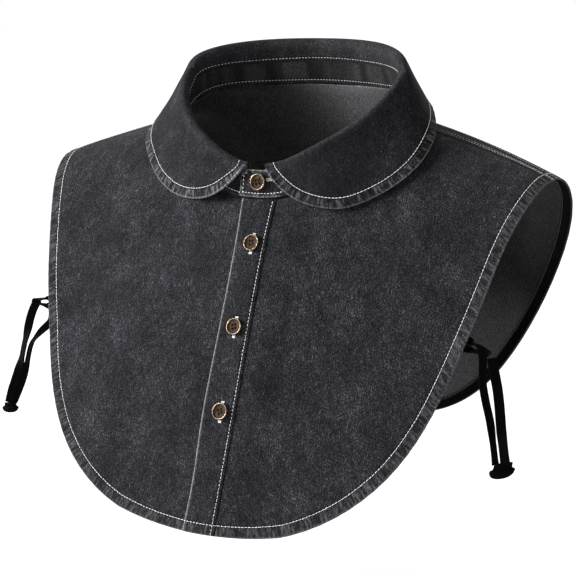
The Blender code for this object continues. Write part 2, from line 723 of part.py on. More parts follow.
def leaf_section(turn):
    """Rows of the leaf's middle surface, from the band's top over the fold to the free edge,
    and the directions off the surface in its stand and roll, which come first."""
    seam, up, outward = band_frame(turn)
    radius = roll_radius(turn)[..., None]
    fold = fold_ring(-turn) + outward * lap_out(turn)[..., None]
    edge = leaf_edge(turn)
    foot = seam + up * (BAND_HEIGHT + LEAF_FOOT_GAP)
    stand = fold - up * radius
    rows = [foot, foot + (stand - foot) * STAND_ROW_SHARE]
    away = [-outward, -outward]
    for degrees in ROLL_DEGREES:
        round_roll = outward * math.cos(math.radians(degrees)) + up * math.sin(math.radians(degrees))
        rows.append(fold + (outward - up + round_roll) * radius)
        away.append(round_roll)
    start = fold + (outward * 2 - up) * radius
    fall = edge - start
    length = np.linalg.norm(fall, axis=-1, keepdims=True)
    inward = -unit(np.cross(np.cross(fall, outward), fall))
    for share in FALL_SHARES:
        hollow = LEAF_HOLLOW * np.clip(length / LEAF_FULL_FALL, 0.0, 1.0) * math.sin(math.pi * share)
        rows.append(start + fall * share + inward * hollow)
    return np.stack(rows), np.stack(away)


def grid_normals(points):
    """Unit normals of a grid, from its rows and columns."""
    return unit(np.cross(np.gradient(points, axis=0), np.gradient(points, axis=1)))


def collar_leaf(material):
    first = math.asin(LEAF_END_OUT / FOLD_HALF_WIDTH)
    turn = collar_turns(first, 2 * math.pi - first, np.array(LEAF_END_COLUMNS) / FOLD_HALF_WIDTH)
    middle, away = leaf_section(turn)
    normals = -grid_normals(middle)
    normals[: len(away)] = away
    half = normals * (LEAF_CLOTH / 2)
    return dressed(solid_from_grids("collar_leaf", middle + half, middle - half), material)


# ---- Buttons -------------------------------------------------------------------------
def turned_button():
    """A four-hole button with a raised rim and a dished face, on +Z, turned and drilled."""
    mesh = bmesh.new()
    inner = BUTTON_RADIUS - BUTTON_RIM
    profile = (
        (0.0, 0.0),
        (BUTTON_RADIUS * 0.80, 0.0),
        (BUTTON_RADIUS, BUTTON_THICKNESS * 0.45),
        (BUTTON_RADIUS * 0.97, BUTTON_THICKNESS * 0.85),
        (BUTTON_RADIUS - BUTTON_RIM * 0.5, BUTTON_THICKNESS),
        (inner, BUTTON_THICKNESS - BUTTON_DISH),
        (0.0, BUTTON_THICKNESS - BUTTON_DISH),
    )
    points = [mesh.verts.new((radius, 0.0, height)) for radius, height in profile]
    edges = [mesh.edges.new(pair) for pair in zip(points, points[1:])]
    bmesh.ops.spin(
        mesh,
        geom=points + edges,
        cent=(0, 0, 0),
        axis=(0, 0, 1),
        angle=2 * math.pi,
        steps=20,
        use_merge=True,
    )
    bmesh.ops.remove_doubles(mesh, verts=mesh.verts, dist=1e-6)
    bmesh.ops.recalc_face_normals(mesh, faces=mesh.faces)
    return mesh


def hole_cutter():
    """Four pins that drill the button's holes."""
    mesh = bmesh.new()
    for corner in range(4):
        angle = math.pi / 4 + corner * math.pi / 2
        drill = bmesh.ops.create_cone(
            mesh,
            cap_ends=True,
            segments=8,
            radius1=BUTTON_HOLE_RADIUS,
            radius2=BUTTON_HOLE_RADIUS,
            depth=BUTTON_THICKNESS * 3,
        )
        reach = BUTTON_HOLE_PITCH / math.sqrt(2)
        bmesh.ops.translate(
            mesh,
            verts=drill["verts"],
            vec=(reach * math.cos(angle), reach * math.sin(angle), 0.0),
        )
    cutter = mesh_object("hole_cutter", mesh)
    cutter.hide_render = True
    cutter.display_type = "WIRE"
    return cutter


def sewn_button(name, place, normal, spin, cutter, material):
    """A button that lies on the cloth at this place, turned by `spin` in its own plane."""
    made = dressed(mesh_object(name, turned_button()), material)
    drill = made.modifiers.new("holes", "BOOLEAN")
    drill.object = cutter
    drill.operation = "DIFFERENCE"
    made.rotation_mode = "QUATERNION"
    made.rotation_quaternion = Vector(normal).to_track_quat("Z", "Y")
    made.location = Vector(place) + Vector(normal) * SEAM_GAP
    holder = cutter.copy()
    holder.name = name + "_cutter"
    bpy.context.scene.collection.objects.link(holder)
    holder.parent = made
    holder.rotation_mode = "XYZ"
    holder.rotation_euler = (0.0, 0.0, spin)
    drill.object = holder
    return made


def buttons(material):
    cutter = hole_cutter()
    seam, up, outward = band_frame(np.array([2 * math.pi + NECK_BUTTON_TURN]))
    place = seam + up * BAND_HEIGHT * NECK_BUTTON_SHARE + outward * (BAND_CLOTH / 2)
    sewn_button("button_1", place[0], outward[0], NECK_BUTTON_SPIN, cutter, material)
    cloth = FRONT_LAP + DENIM / 2 + SEAM_GAP + DENIM
    for number, (out, down) in enumerate(BUTTON_PLACES, start=2):
        normal = sheet_normal(out, down)
        place = sheet(out, down) + normal * cloth
        sewn_button(f"button_{number}", place, normal, BUTTON_SPIN_STEP * number, cutter, material)


# ---- Side loops and ties -------------------------------------------------------------
def route(points, count):
    """Evenly spread rows of a smooth curve through a route's points.

    Columns past the third, if any, are carried along smoothly with the points."""
    points = np.asarray(points, float)
    steps = np.linalg.norm(np.diff(points[:, :3], axis=0), axis=1)
    walked = np.concatenate([[0.0], np.cumsum(steps)])
    padded = np.vstack([2 * points[0] - points[1], points, 2 * points[-1] - points[-2]])
    at = np.linspace(0.0, walked[-1], count)
    span = np.clip(np.searchsorted(walked, at, side="right") - 1, 0, len(points) - 2)
    share = ((at - walked[span]) / steps[span])[:, None]
    before, start, end, after = (padded[span + shift] for shift in range(4))
    return 0.5 * (
        2 * start
        + (end - before) * share
        + (2 * before - 5 * start + 4 * end - after) * share**2
        + (3 * start - before - 3 * end + after) * share**3
    )


def tape(name, points, across, width, material):
    """A flat tape along the points; its width lies across, one direction or one a point."""
    along = unit(np.gradient(points, axis=0))
    face = unit(np.cross(along, across))
    across = np.cross(face, along)
    middle = np.stack([points - across * (width / 2), points + across * (width / 2)])
    half = face[None] * (TAPE / 2)
    return dressed(solid_from_grids(name, middle + half, middle - half), material)


def behind_hem(side, down, in_from_edge):
    """A point of tape that lies flat on the inside of a front's hem."""
    turns = np.linspace(SIDE_EDGE_TURN, TIP_TURN, 400)
    edge_out, edge_down = outer_edge(turns, True)
    out = float(np.interp(-down, -edge_down, edge_out)) - in_from_edge
    inside = DENIM / 2 + HEM_DEPTH + LOOP_CLEARANCE + TAPE / 2
    return (sheet(out, down) - sheet_normal(out, down) * inside) * (side, 1, 1)


def loop_rows(side, down, tip):
    """Points of a loop and its width's directions: its legs lie side by side behind the hem,
    and it turns on edge at the tip."""
    radius = LOOP_TIP_SPREAD / 2
    centre = np.array(tip) - (side * radius, 0.0, 0.0)
    legs = []
    for upper in (1, -1):
        sewn_down = down - upper * LOOP_LEG_SPREAD / 2
        raw_end, at_edge = (behind_hem(side, sewn_down, inside) for inside in (LOOP_SEWN, 0.0))
        beside_tip = centre + (0.0, 0.0, upper * radius)
        turned = at_edge + (beside_tip - at_edge) * LOOP_TURNED_SHARE
        legs.append([raw_end, at_edge, turned, beside_tip])
    above, below = legs
    angles = np.radians(LOOP_TIP_ARC)[:, None]
    arc = centre + radius * (np.cos(angles) * (side, 0.0, 0.0) + np.sin(angles) * (0.0, 0.0, 1.0))
    control = np.vstack([above, arc, below[::-1]])
    down_edge = unit(below[1] - above[1])
    to_back = np.array([0.0, 1.0, 0.0])
    flat = [down_edge, down_edge]
    on_edge = [to_back] * (len(control) - 2 * len(flat))
    across = np.array(flat + on_edge + [-down_edge, -down_edge])
    return route(np.hstack([control, across]), LOOP_ROWS)


def side_loop(name, side, down, tip, material):
    rows = loop_rows(side, down, tip)
    return tape(name, rows[:, :3], rows[:, 3:], LOOP_WIDTH, material)


def tie_strands(material):
    for name, (width, points) in TIES.items():
        rows = route(points, TIE_ROWS_PER_POINT * len(points))
        tape(f"tie_{name}", rows, np.array(TIE_ACROSS), width, material)


def tie_ends(material):
    """The flared end of each pair of strands, a stack of rounded sections."""
    widest = max(half_width for _, half_width in TIE_END_FLARE)
    for side, (middle, lean, size) in TIE_ENDS.items():
        mesh = bmesh.new()
        rings = []
        for share, flare in TIE_END_FLARE:
            up = (share - 0.5) * TIE_END_HEIGHT * size
            half_width = flare * size
            half_depth = TIE_END_DEPTH / 2 * half_width / widest
            ring_points = []
            for number in range(TIE_END_SIDES):
                angle = 2 * math.pi * number / TIE_END_SIDES
                along = half_width * math.cos(angle)
                place = (along + lean * up, half_depth * math.sin(angle), up + lean * along)
                ring_points.append(mesh.verts.new(place))
            rings.append(ring_points)
        for low, high in zip(rings, rings[1:]):
            for number in range(TIE_END_SIDES):
                after = (number + 1) % TIE_END_SIDES
                mesh.faces.new((low[number], low[after], high[after], high[number]))
        mesh.faces.new(rings[0][::-1])
        mesh.faces.new(rings[-1])
        made = dressed(mesh_object(f"tie_end_{side}", mesh), material)
        made.location = middle
        made.rotation_euler = (0.0, 0.0, TIE_END_TURN)


def main():
    for left_over in list(bpy.data.objects):
        bpy.data.objects.remove(left_over, do_unlink=True)
    denim = plain_material("washed_black_denim", (0.060, 0.060, 0.068), 0.92)
    collar_denim = plain_material("collar_denim", (0.055, 0.055, 0.062), 0.92)
    facing = plain_material("black_facing", (0.012, 0.012, 0.012), 0.85)
    black_tape = plain_material("black_tape", (0.010, 0.010, 0.010), 0.80)
    brass = plain_material("aged_brass", (0.42, 0.30, 0.18), 0.40, metallic=0.8)
    front_bib("front_left", denim, mirrored=False)
    front_bib("front_right", denim, mirrored=True)
    back_bib(denim)
    back_facing(facing)
    placket(denim)
    neckband(collar_denim)
    collar_leaf(collar_denim)
    buttons(brass)
    for name, (down, tip) in LOOPS.items():
        side_loop(f"side_loop_{name}", math.copysign(1.0, tip[0]), down, tip, black_tape)
    tie_strands(black_tape)
    tie_ends(black_tape)


main()
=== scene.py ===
"""Looks of a detachable shirt collar in washed black denim.

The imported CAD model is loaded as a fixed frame.  Each cloth solid is replaced by a fine shell on
the same worn form, with its turned edges, puckers and soft creases, and is sewn with threads,
buttons and black tape.  Everything is in metres in the frame's own axes: +X to the wearer's left,
+Y to the back, +Z up, and the origin at the neck base.
"""

from __future__ import annotations

import logging
import math
from collections.abc import Sequence
from dataclasses import dataclass, field
from enum import Enum
from functools import partial

import bmesh
import bpy
import numpy as np
from bpy.types import ID, Material, Mesh, Node, NodeSocket, NodeTree, Object
from mathutils import Matrix, Vector

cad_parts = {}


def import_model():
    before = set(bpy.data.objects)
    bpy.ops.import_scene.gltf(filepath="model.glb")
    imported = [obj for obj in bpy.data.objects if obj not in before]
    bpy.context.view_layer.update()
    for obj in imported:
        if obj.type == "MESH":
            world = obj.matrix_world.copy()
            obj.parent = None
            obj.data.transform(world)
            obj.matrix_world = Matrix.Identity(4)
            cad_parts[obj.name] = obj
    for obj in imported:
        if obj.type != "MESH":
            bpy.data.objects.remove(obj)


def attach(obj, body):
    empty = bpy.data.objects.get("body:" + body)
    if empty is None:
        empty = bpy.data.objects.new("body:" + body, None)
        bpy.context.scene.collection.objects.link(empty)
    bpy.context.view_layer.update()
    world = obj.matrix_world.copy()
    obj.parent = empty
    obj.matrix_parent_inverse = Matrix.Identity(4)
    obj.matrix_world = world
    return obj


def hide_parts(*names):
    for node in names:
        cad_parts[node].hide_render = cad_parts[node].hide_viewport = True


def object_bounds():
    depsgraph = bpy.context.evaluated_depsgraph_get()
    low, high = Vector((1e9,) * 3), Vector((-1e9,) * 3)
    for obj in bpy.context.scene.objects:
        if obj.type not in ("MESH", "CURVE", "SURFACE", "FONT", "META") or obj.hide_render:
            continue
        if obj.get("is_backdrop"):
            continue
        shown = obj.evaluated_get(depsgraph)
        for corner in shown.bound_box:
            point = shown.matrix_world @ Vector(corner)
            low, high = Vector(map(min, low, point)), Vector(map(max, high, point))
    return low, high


LOG = logging.getLogger("denim_collar")
Array = np.ndarray
Line = tuple[Array, Array]  # points, and the cloth's outward directions there
Numbers = tuple[float, ...]
Pairs = tuple[tuple[float, float], ...]
Spot = tuple[float, float, float]

CLOTH_UV = "cloth"  # metres along the cloth, across and down
# the fade attribute is wear, except on the back's inner skin, where it is painted light
FADE = "fade"  # vertex attribute: how far the dye is worn off, 0 to 1
# painted shade: the materials darken the cloth by this attribute, in creases, grooves and hollows
PAINTED_SHADE = "hollow"  # vertex attribute: how deep in a crease or under a stitch row, 0 to 1
EDGE = "edge"  # vertex attribute: metres along a turned edge, share of its width, metres from it
FACE = "face"  # vertex attribute of a seam line: the cloth's outward direction
MM = 0.001
TURN = 2 * math.pi


# ---- Small helpers -------------------------------------------------------------------
def linear(colour: str) -> tuple[float, float, float, float]:
    """Linear colour of an sRGB hex value.

    Args:
        colour: Six hex digits after a hash.

    Returns:
        Red, green, blue and alpha for a shader socket.
    """
    parts = [int(colour[i : i + 2], 16) / 255 for i in (1, 3, 5)]
    made = [p / 12.92 if p <= 0.04045 else ((p + 0.055) / 1.055) ** 2.4 for p in parts]
    return (made[0], made[1], made[2], 1.0)


def unit(vectors: Array) -> Array:
    """The same directions with length one."""
    return vectors / np.linalg.norm(vectors, axis=-1, keepdims=True)


def smooth_step(value: Array | float, start: float, end: float) -> Array:
    """0 up to start, 1 from end on, and a smooth rise between."""
    share = np.clip((np.asarray(value) - start) / (end - start), 0.0, 1.0)
    return share * share * (3 - 2 * share)


def hump(value: Array, middle: float, width: float) -> Array:
    """A smooth hump, 1 at its middle, that has faded out two widths away."""
    return np.exp(-(((value - middle) / width) ** 2))


def wander(at: Array, seed: int) -> Array:
    """Smooth random values between -1 and 1.

    Args:
        at: Places along a line, with one new value per unit.
        seed: Chooses the line's values.

    Returns:
        The values at those places.
    """
    values = np.random.default_rng(seed).uniform(-1, 1, 4096)
    cell = np.floor(at).astype(int)
    share = at - cell
    share = share**3 * (share * (6 * share - 15) + 10)
    low, high = values[cell % 4096], values[(cell + 1) % 4096]
    return low + (high - low) * share


def curve_through(
    knots: Numbers, values: Numbers, at: Array, flat_start: bool = True, flat_end: bool = False
) -> Array:
    """Cubic curve through the values, with each end flat or free.

    Args:
        knots: Rising places of the values.
        values: What the curve passes through.
        at: Places to read the curve at.
        flat_start: Whether the curve starts level.
        flat_end: Whether the curve ends level.

    Returns:
        The curve's values.
    """
    knots, values, at = (np.asarray(each, float) for each in (knots, values, at))
    gaps = np.diff(knots)
    slopes = np.diff(values) / gaps
    count = len(knots)
    system, wanted = np.zeros((count, count)), np.zeros(count)
    system[0, 0] = system[-1, -1] = 1
    if flat_start:
        system[0, :2] = 2 * gaps[0], gaps[0]
        wanted[0] = 6 * slopes[0]
    for row in range(1, count - 1):
        before, after = gaps[row - 1], gaps[row]
        system[row, row - 1 : row + 2] = before, 2 * (before + after), after
        wanted[row] = 6 * (slopes[row] - slopes[row - 1])
    if flat_end:
        system[-1, -2:] = gaps[-1], 2 * gaps[-1]
        wanted[-1] = -6 * slopes[-1]
    bends = np.linalg.solve(system, wanted)
    span = np.clip(np.searchsorted(knots, at) - 1, 0, count - 2)
    past, left, width = at - knots[span], knots[span + 1] - at, gaps[span]
    curved = (bends[span] * left**3 + bends[span + 1] * past**3) / (6 * width)
    low = (values[span] / width - bends[span] * width / 6) * left
    return curved + low + (values[span + 1] / width - bends[span + 1] * width / 6) * past


def walked(points: Array) -> Array:
    """Distance along a line of points, from its first one."""
    return np.concatenate([[0.0], np.cumsum(np.linalg.norm(np.diff(points, axis=0), axis=1))])


def spread_evenly(rows: Array, count: int, window: int) -> Line:
    """Points and directions of a rough line, smoothed and laid evenly apart.

    Args:
        rows: Points in the first three columns and directions in the others.
        count: How many points to lay.
        window: How many rows are averaged.

    Returns:
        The points and the directions.
    """
    ends = ((window // 2, window // 2), (0, 0))
    padded = np.pad(rows, ends, mode="reflect", reflect_type="odd")
    mean = np.ones(window) / window
    smooth = np.stack([np.convolve(column, mean, "valid") for column in padded.T], axis=1)
    along = walked(smooth[:, :3])
    at = np.linspace(0.0, along[-1], count)
    even = np.stack([np.interp(at, along, column) for column in smooth.T], axis=1)
    return even[:, :3], unit(even[:, 3:])


def nearest_on_line(points: Array, line: Array) -> tuple[Array, Array]:
    """Distance of each point from a line, and how far along the line its nearest place is.

    Args:
        points: Points, with coordinates in the last axis.
        line: Closely spaced points of the line, of the same dimension.

    Returns:
        Distances and places along the line, shaped as the points.
    """
    along = walked(line)
    flat = points.reshape(-1, points.shape[-1])
    distance, place = np.empty(len(flat)), np.empty(len(flat))
    block = 4000  # points at a time, to spare memory
    for start in range(0, len(flat), block):
        some = slice(start, start + block)
        gaps = np.linalg.norm(flat[some, None, :] - line[None, :, :], axis=-1)
        best = gaps.argmin(axis=1)
        distance[some] = gaps[np.arange(len(best)), best]
        place[some] = along[best]
    return distance.reshape(points.shape[:-1]), place.reshape(points.shape[:-1])


def route(points: Array, count: int) -> Array:
    """Evenly spread rows of a smooth curve through a route's points.

    Args:
        points: Points in the first three columns; any others are carried along.
        count: Number of rows.

    Returns:
        The rows.
    """
    points = np.asarray(points, float)
    steps = np.linalg.norm(np.diff(points[:, :3], axis=0), axis=1)
    far = np.concatenate([[0.0], np.cumsum(steps)])
    padded = np.vstack([2 * points[0] - points[1], points, 2 * points[-1] - points[-2]])
    at = np.linspace(0.0, far[-1], count)
    span = np.clip(np.searchsorted(far, at, side="right") - 1, 0, len(points) - 2)
    share = ((at - far[span]) / steps[span])[:, None]
    before, start, end, after = (padded[span + shift] for shift in range(4))
    squared = 2 * before - 5 * start + 4 * end - after
    curved = squared * share**2 + (3 * start - before - 3 * end + after) * share**3
    return 0.5 * (2 * start + (end - before) * share + curved)


def edge_round(from_edge: Array, half: float) -> Array:
    """Share of the full thickness near a rounded edge."""
    near = np.clip(1 - from_edge / half, 0.0, 0.97)
    return np.sqrt(1 - near**2)


# ---- The worn form -------------------------------------------------------------------
@dataclass(frozen=True)
class WornForm:
    """The surface that the worn cloth lies on: the same rings and sections as the solids.

    `out` is the distance from the centre line and `down` the distance along the cloth from the
    shoulder ridge, positive in front and negative behind.
    """

    seam_gap: float = 0.0003
    shoulder_half_width: float = 0.188
    neck_point_out: float = 0.062
    ridge_slope: float = 0.29
    ridge_crown: float = 0.003
    tip_forward: float = 0.025
    front_turn: tuple[float, float] = (0.052, 0.041)  # at the centre, at the side
    front_steep: tuple[float, float] = (math.radians(76.5), math.radians(73.5))
    front_ease: float = math.radians(2.0) / 0.1
    back_turn: float = 0.045
    back_steep: float = math.radians(86.5)
    back_side_push: float = 0.021
    back_push_length: float = 0.08
    set_back_length: float = 0.2
    set_back_middle: tuple[float, float] = (0.065, -0.048)
    set_back_side: tuple[float, float] = (-0.045, 0.043)
    outline_centre_down: float = 0.060
    front_reach: Numbers = (0.261, 0.2465, 0.218, 0.189, 0.175, 0.177)
    back_reach: Numbers = (0.203, 0.196, 0.176, 0.166, 0.174)
    ring_centre_back: float = -0.027
    seam_half_width: float = 0.084
    seam_depths: tuple[float, float] = (0.045, 0.049)  # front, back
    fold_half_width: float = 0.0795
    fold_depths: tuple[float, float] = (0.042, 0.0395)
    fold_back_pointedness: float = 1.9
    ring_turns: Numbers = (0, 15, 30, 60, 90, 120, 150, 180)
    seam_heights: Numbers = (-0.057, -0.0545, -0.0455, -0.025, -0.002, 0.011, 0.014, 0.015)
    fold_heights: Numbers = (-0.0336, -0.0298, -0.02, 0.002, 0.026, 0.038, 0.0435, 0.045)
    neck_rise: tuple[float, float] = (0.045, 0.022)  # its length, and beside the shoulder ridge
    neck_rise_turns: Numbers = (50.0, 90.0, 120.0, 160.0)

    @property
    def tip_turn(self) -> float:
        """Turn of the shoulder tip about the outline's centre."""
        return math.atan2(self.shoulder_half_width, -self.outline_centre_down)

    def ridge(self, out: Array) -> tuple[Array, Array]:
        """Back and height of the shoulder ridge.

        Args:
            out: Distances from the middle.

        Returns:
            How far back it is, and how high.
        """
        reach = np.abs(out)
        share = reach / self.shoulder_half_width
        neck = self.neck_point_out
        past = np.clip((reach - neck) / (self.shoulder_half_width - neck), 0.0, 1.0)
        sloping = -self.ridge_slope * (reach - neck) + 4 * self.ridge_crown * past * (1 - past)
        rounded = self.ridge_slope * (neck**2 - reach**2) / (2 * neck)
        return -self.tip_forward * share**2, np.where(reach < neck, rounded, sloping)

    def sheet(self, out: Array | float, down: Array | float) -> Array:
        """Points of the worn cloth.

        Args:
            out: Distances from the centre line.
            down: Distances along the cloth from the shoulder ridge.

        Returns:
            Points, with coordinates in the last axis.
        """
        out, down = np.broadcast_arrays(np.asarray(out, float), np.asarray(down, float))
        share = np.abs(out) / self.shoulder_half_width
        length = np.abs(down)
        front = down >= 0
        turn = self.front_turn[0] + (self.front_turn[1] - self.front_turn[0]) * share**2
        turn = np.where(front, turn, self.back_turn)
        steep = self.front_steep[0] + (self.front_steep[1] - self.front_steep[0]) * share**2
        steep = np.where(front, steep, self.back_steep)
        ease = np.where(front, self.front_ease, 0.0)
        forward, drop = np.zeros_like(length), np.zeros_like(length)
        steps = 32
        for step in range(steps):
            so_far = length * (step + 0.5) / steps
            dip = steep * (1 - np.exp(-so_far / turn)) - ease * so_far
            forward += np.cos(dip) * length / steps
            drop += np.sin(dip) * length / steps
        part = length / self.set_back_length
        middle = self.set_back_middle[0] * part + self.set_back_middle[1] * part**2
        side = self.set_back_side[0] * part + self.set_back_side[1] * part**2
        push = self.back_side_push * share**2 * (1 - np.exp(-length / self.back_push_length))
        ridge_back, ridge_up = self.ridge(out)
        in_front = ridge_back - forward + share**2 * middle + share**4 * side
        back = np.where(front, in_front, ridge_back + forward + push)
        return np.stack([out, back, ridge_up - drop], axis=-1)

    def sheet_normal(self, out: Array | float, down: Array | float) -> Array:
        """Unit normals of the worn cloth, pointing away from the wearer."""
        step = 1e-4
        base = self.sheet(out, down)
        across = self.sheet(np.asarray(out) + step, down) - base
        return unit(np.cross(across, self.sheet(out, np.asarray(down) - step) - base))

    def outer_edge(self, turn: Array, in_front: bool) -> tuple[Array, Array]:
        """A bib's outer edge.

        Args:
            turn: Turns about the outline's centre, from its bottom middle.
            in_front: Whether it is the front's edge or the back's.

        Returns:
            Its out and its down.
        """
        tip_reach = math.hypot(self.shoulder_half_width, self.outline_centre_down)
        reaches = (*(self.front_reach if in_front else self.back_reach), tip_reach)
        spots = np.linspace(0.0, self.tip_turn, len(reaches))
        reach = curve_through(spots, reaches, np.abs(turn))
        down = self.outline_centre_down + reach * np.cos(turn)
        return reach * np.sin(turn), down if in_front else -down

    def ring(self, turn: Array, fold: bool) -> Array:
        """Points of the neck seam or the fold: turn 0 is the front middle, rising towards +X."""
        half_width = self.fold_half_width if fold else self.seam_half_width
        depths = self.fold_depths if fold else self.seam_depths
        degrees = np.abs(np.degrees(np.arctan2(np.sin(turn), np.cos(turn))))
        backward = -np.cos(turn)
        pointed = self.fold_back_pointedness if fold else 1.0
        behind = depths[1] * np.maximum(backward, 0.0) ** pointed
        heights = self.fold_heights if fold else self.seam_heights
        height = curve_through(self.ring_turns, heights, degrees, flat_end=True)
        back = self.ring_centre_back + behind + depths[0] * np.minimum(backward, 0.0)
        return np.stack([half_width * np.sin(turn), back, height], axis=-1)

    def neck_on_cloth(self, turn: Array) -> tuple[Array, Array, Array]:
        """Out and down on the cloth, straight under or over the neck seam, and the rise to it."""
        seam = self.ring(turn, fold=False)
        low = np.full(seam.shape[:-1], -0.15)
        high = np.full(seam.shape[:-1], 0.20)
        for _ in range(32):
            middle = (low + high) / 2
            behind = self.sheet(seam[..., 0], middle)[..., 1] > seam[..., 1]
            low, high = np.where(behind, middle, low), np.where(behind, high, middle)
        return seam[..., 0], low, seam[..., 2] - self.sheet(seam[..., 0], low)[..., 2]

    def shoulder_turn(self) -> float:
        """Turn at which the neck seam crosses the shoulder ridge."""
        turns = np.linspace(math.radians(80), math.radians(150), 400)
        return float(np.interp(0.0, -self.neck_on_cloth(turns)[1], turns))

    def flat_place(self, neck_turn: Array, edge_turn: Array, share: Array, in_front: bool) -> tuple:
        """Places at shares of the way from the neck seam to the outer edge.

        Args:
            neck_turn: Turns along the neck seam.
            edge_turn: Turns along the outer edge.
            share: Shares of the way.
            in_front: Whether it is the front or the back.

        Returns:
            Out, down, distance from the neck and the cloth's rise to the seam.
        """
        neck_out, neck_down, rise = self.neck_on_cloth(neck_turn)
        edge_out, edge_down = self.outer_edge(edge_turn, in_front)
        out = neck_out + (edge_out - neck_out) * share
        down = neck_down + (edge_down - neck_down) * share
        from_neck = share * np.hypot(edge_out - neck_out, edge_down - neck_down)
        return out, down, from_neck, rise * np.ones_like(share)

    def rise_left(self, turn: Array, away: Array) -> Array:
        """Share of the cloth's rise that is left at this distance from the neck seam."""
        degrees = np.degrees(np.arccos(np.cos(turn)))
        first, second, third, fourth = self.neck_rise_turns
        beside = smooth_step(degrees, first, second) - smooth_step(degrees, third, fourth)
        length = self.neck_rise[0] + (self.neck_rise[1] - self.neck_rise[0]) * beside
        return 1 - smooth_step(away / length, 0.0, 1.0)

    def bib(
        self, neck: Array, edge: Array, share: Array, in_front: bool, seam_edge: float = 0.0
    ) -> Array:
        """Points of a bib, at shares of the way from the neck seam to the outer edge.

        Args:
            neck: Turns along the neck seam.
            edge: Turns along the outer edge.
            share: Shares of the way.
            in_front: Whether it is a front or the back.
            seam_edge: How far it stays away from the shoulder ridge.

        Returns:
            The points.
        """
        out, down, from_neck, rise = self.flat_place(neck, edge, share, in_front)
        if seam_edge:
            down = np.maximum(down, seam_edge) if in_front else np.minimum(down, -seam_edge)
        points = self.sheet(out, down)
        points[..., 2] += rise * self.rise_left(neck, from_neck)
        return points

    def bib_normals(self, neck: Array, edge: Array, share: Array, in_front: bool) -> Array:
        """Unit normals of a bib, pointing away from the wearer."""
        step = 1e-3
        lean = step if in_front else -step
        along = self.bib(neck, edge, share + step, in_front)
        along = along - self.bib(neck, edge, share - step, in_front)
        across = self.bib(neck + step, edge + lean, share, in_front)
        across = across - self.bib(neck - step, edge - lean, share, in_front)
        return unit(np.cross(along, across))

    def cloth(self, out: Array, down: Array) -> Array:
        """Points of the worn cloth with its rise to the neck seam."""
        points = self.sheet(out, down)
        points[..., 2] += self.rise_near(np.asarray(out), np.asarray(down))
        return points

    def rise_near(self, out: Array, down: Array) -> Array:
        """The cloth's rise towards the neck seam, at places beyond the seam."""
        turns = np.linspace(0.0, math.pi, 181)
        seam_out, seam_down, rise = self.neck_on_cloth(turns)
        away = np.hypot(out[..., None] - seam_out, down[..., None] - seam_down)
        nearest = away.argmin(axis=-1)
        distance = np.take_along_axis(away, nearest[..., None], axis=-1)[..., 0]
        return rise[nearest] * self.rise_left(turns[nearest], distance)


# ---- Meshes --------------------------------------------------------------------------
def link(data: ID, name: str) -> Object:
    """A scene object at the origin that shows this mesh, light or camera."""
    made = bpy.data.objects.new(name, data)
    bpy.context.scene.collection.objects.link(made)
    return made


def mesh_from(work: bmesh.types.BMesh, name: str, *materials: Material) -> Mesh:
    """A smooth mesh with the worked faces and these materials, after which the work is freed.

    Args:
        work: The worked faces.
        name: The mesh's name.
        *materials: Its materials, in order.

    Returns:
        The mesh.
    """
    data = bpy.data.meshes.new(name)
    work.to_mesh(data)
    work.free()
    for material in materials:
        data.materials.append(material)
    data.shade_smooth()
    return data


def add_rings(work: bmesh.types.BMesh, rings: Sequence, joined: bool = False) -> None:
    """Joins rings of points by faces, and closes the two ends unless a pole does.

    Args:
        work: Where the faces go.
        rings: Rings with the same number of points, or with a single one for a pole.
        joined: Whether the last ring joins the first.
    """
    sides = max(len(ring) for ring in rings)
    made = []
    for ring in rings:
        points = [work.verts.new(point) for point in ring]
        made.append(points * sides if len(points) == 1 else points)
    for low, high in zip(made, made[1:] + made[:1] if joined else made[1:]):
        for one in range(sides):
            after = (one + 1) % sides
            work.faces.new(tuple(dict.fromkeys((low[one], low[after], high[after], high[one]))))
    if not joined and len(rings[0]) > 1:
        work.faces.new(made[0][::-1])
        work.faces.new(made[-1])


def set_attribute(data: Mesh, name: str, kind: str, values: Array) -> None:
    """Stores one value for each vertex of a mesh.

    Args:
        data: The mesh.
        name: The attribute's name.
        kind: FLOAT or FLOAT_VECTOR.
        values: The values, in vertex order.
    """
    attribute = data.attributes.new(name, kind, "POINT")
    key = "value" if kind == "FLOAT" else "vector"
    attribute.data.foreach_set(key, np.asarray(values, np.float32).ravel())


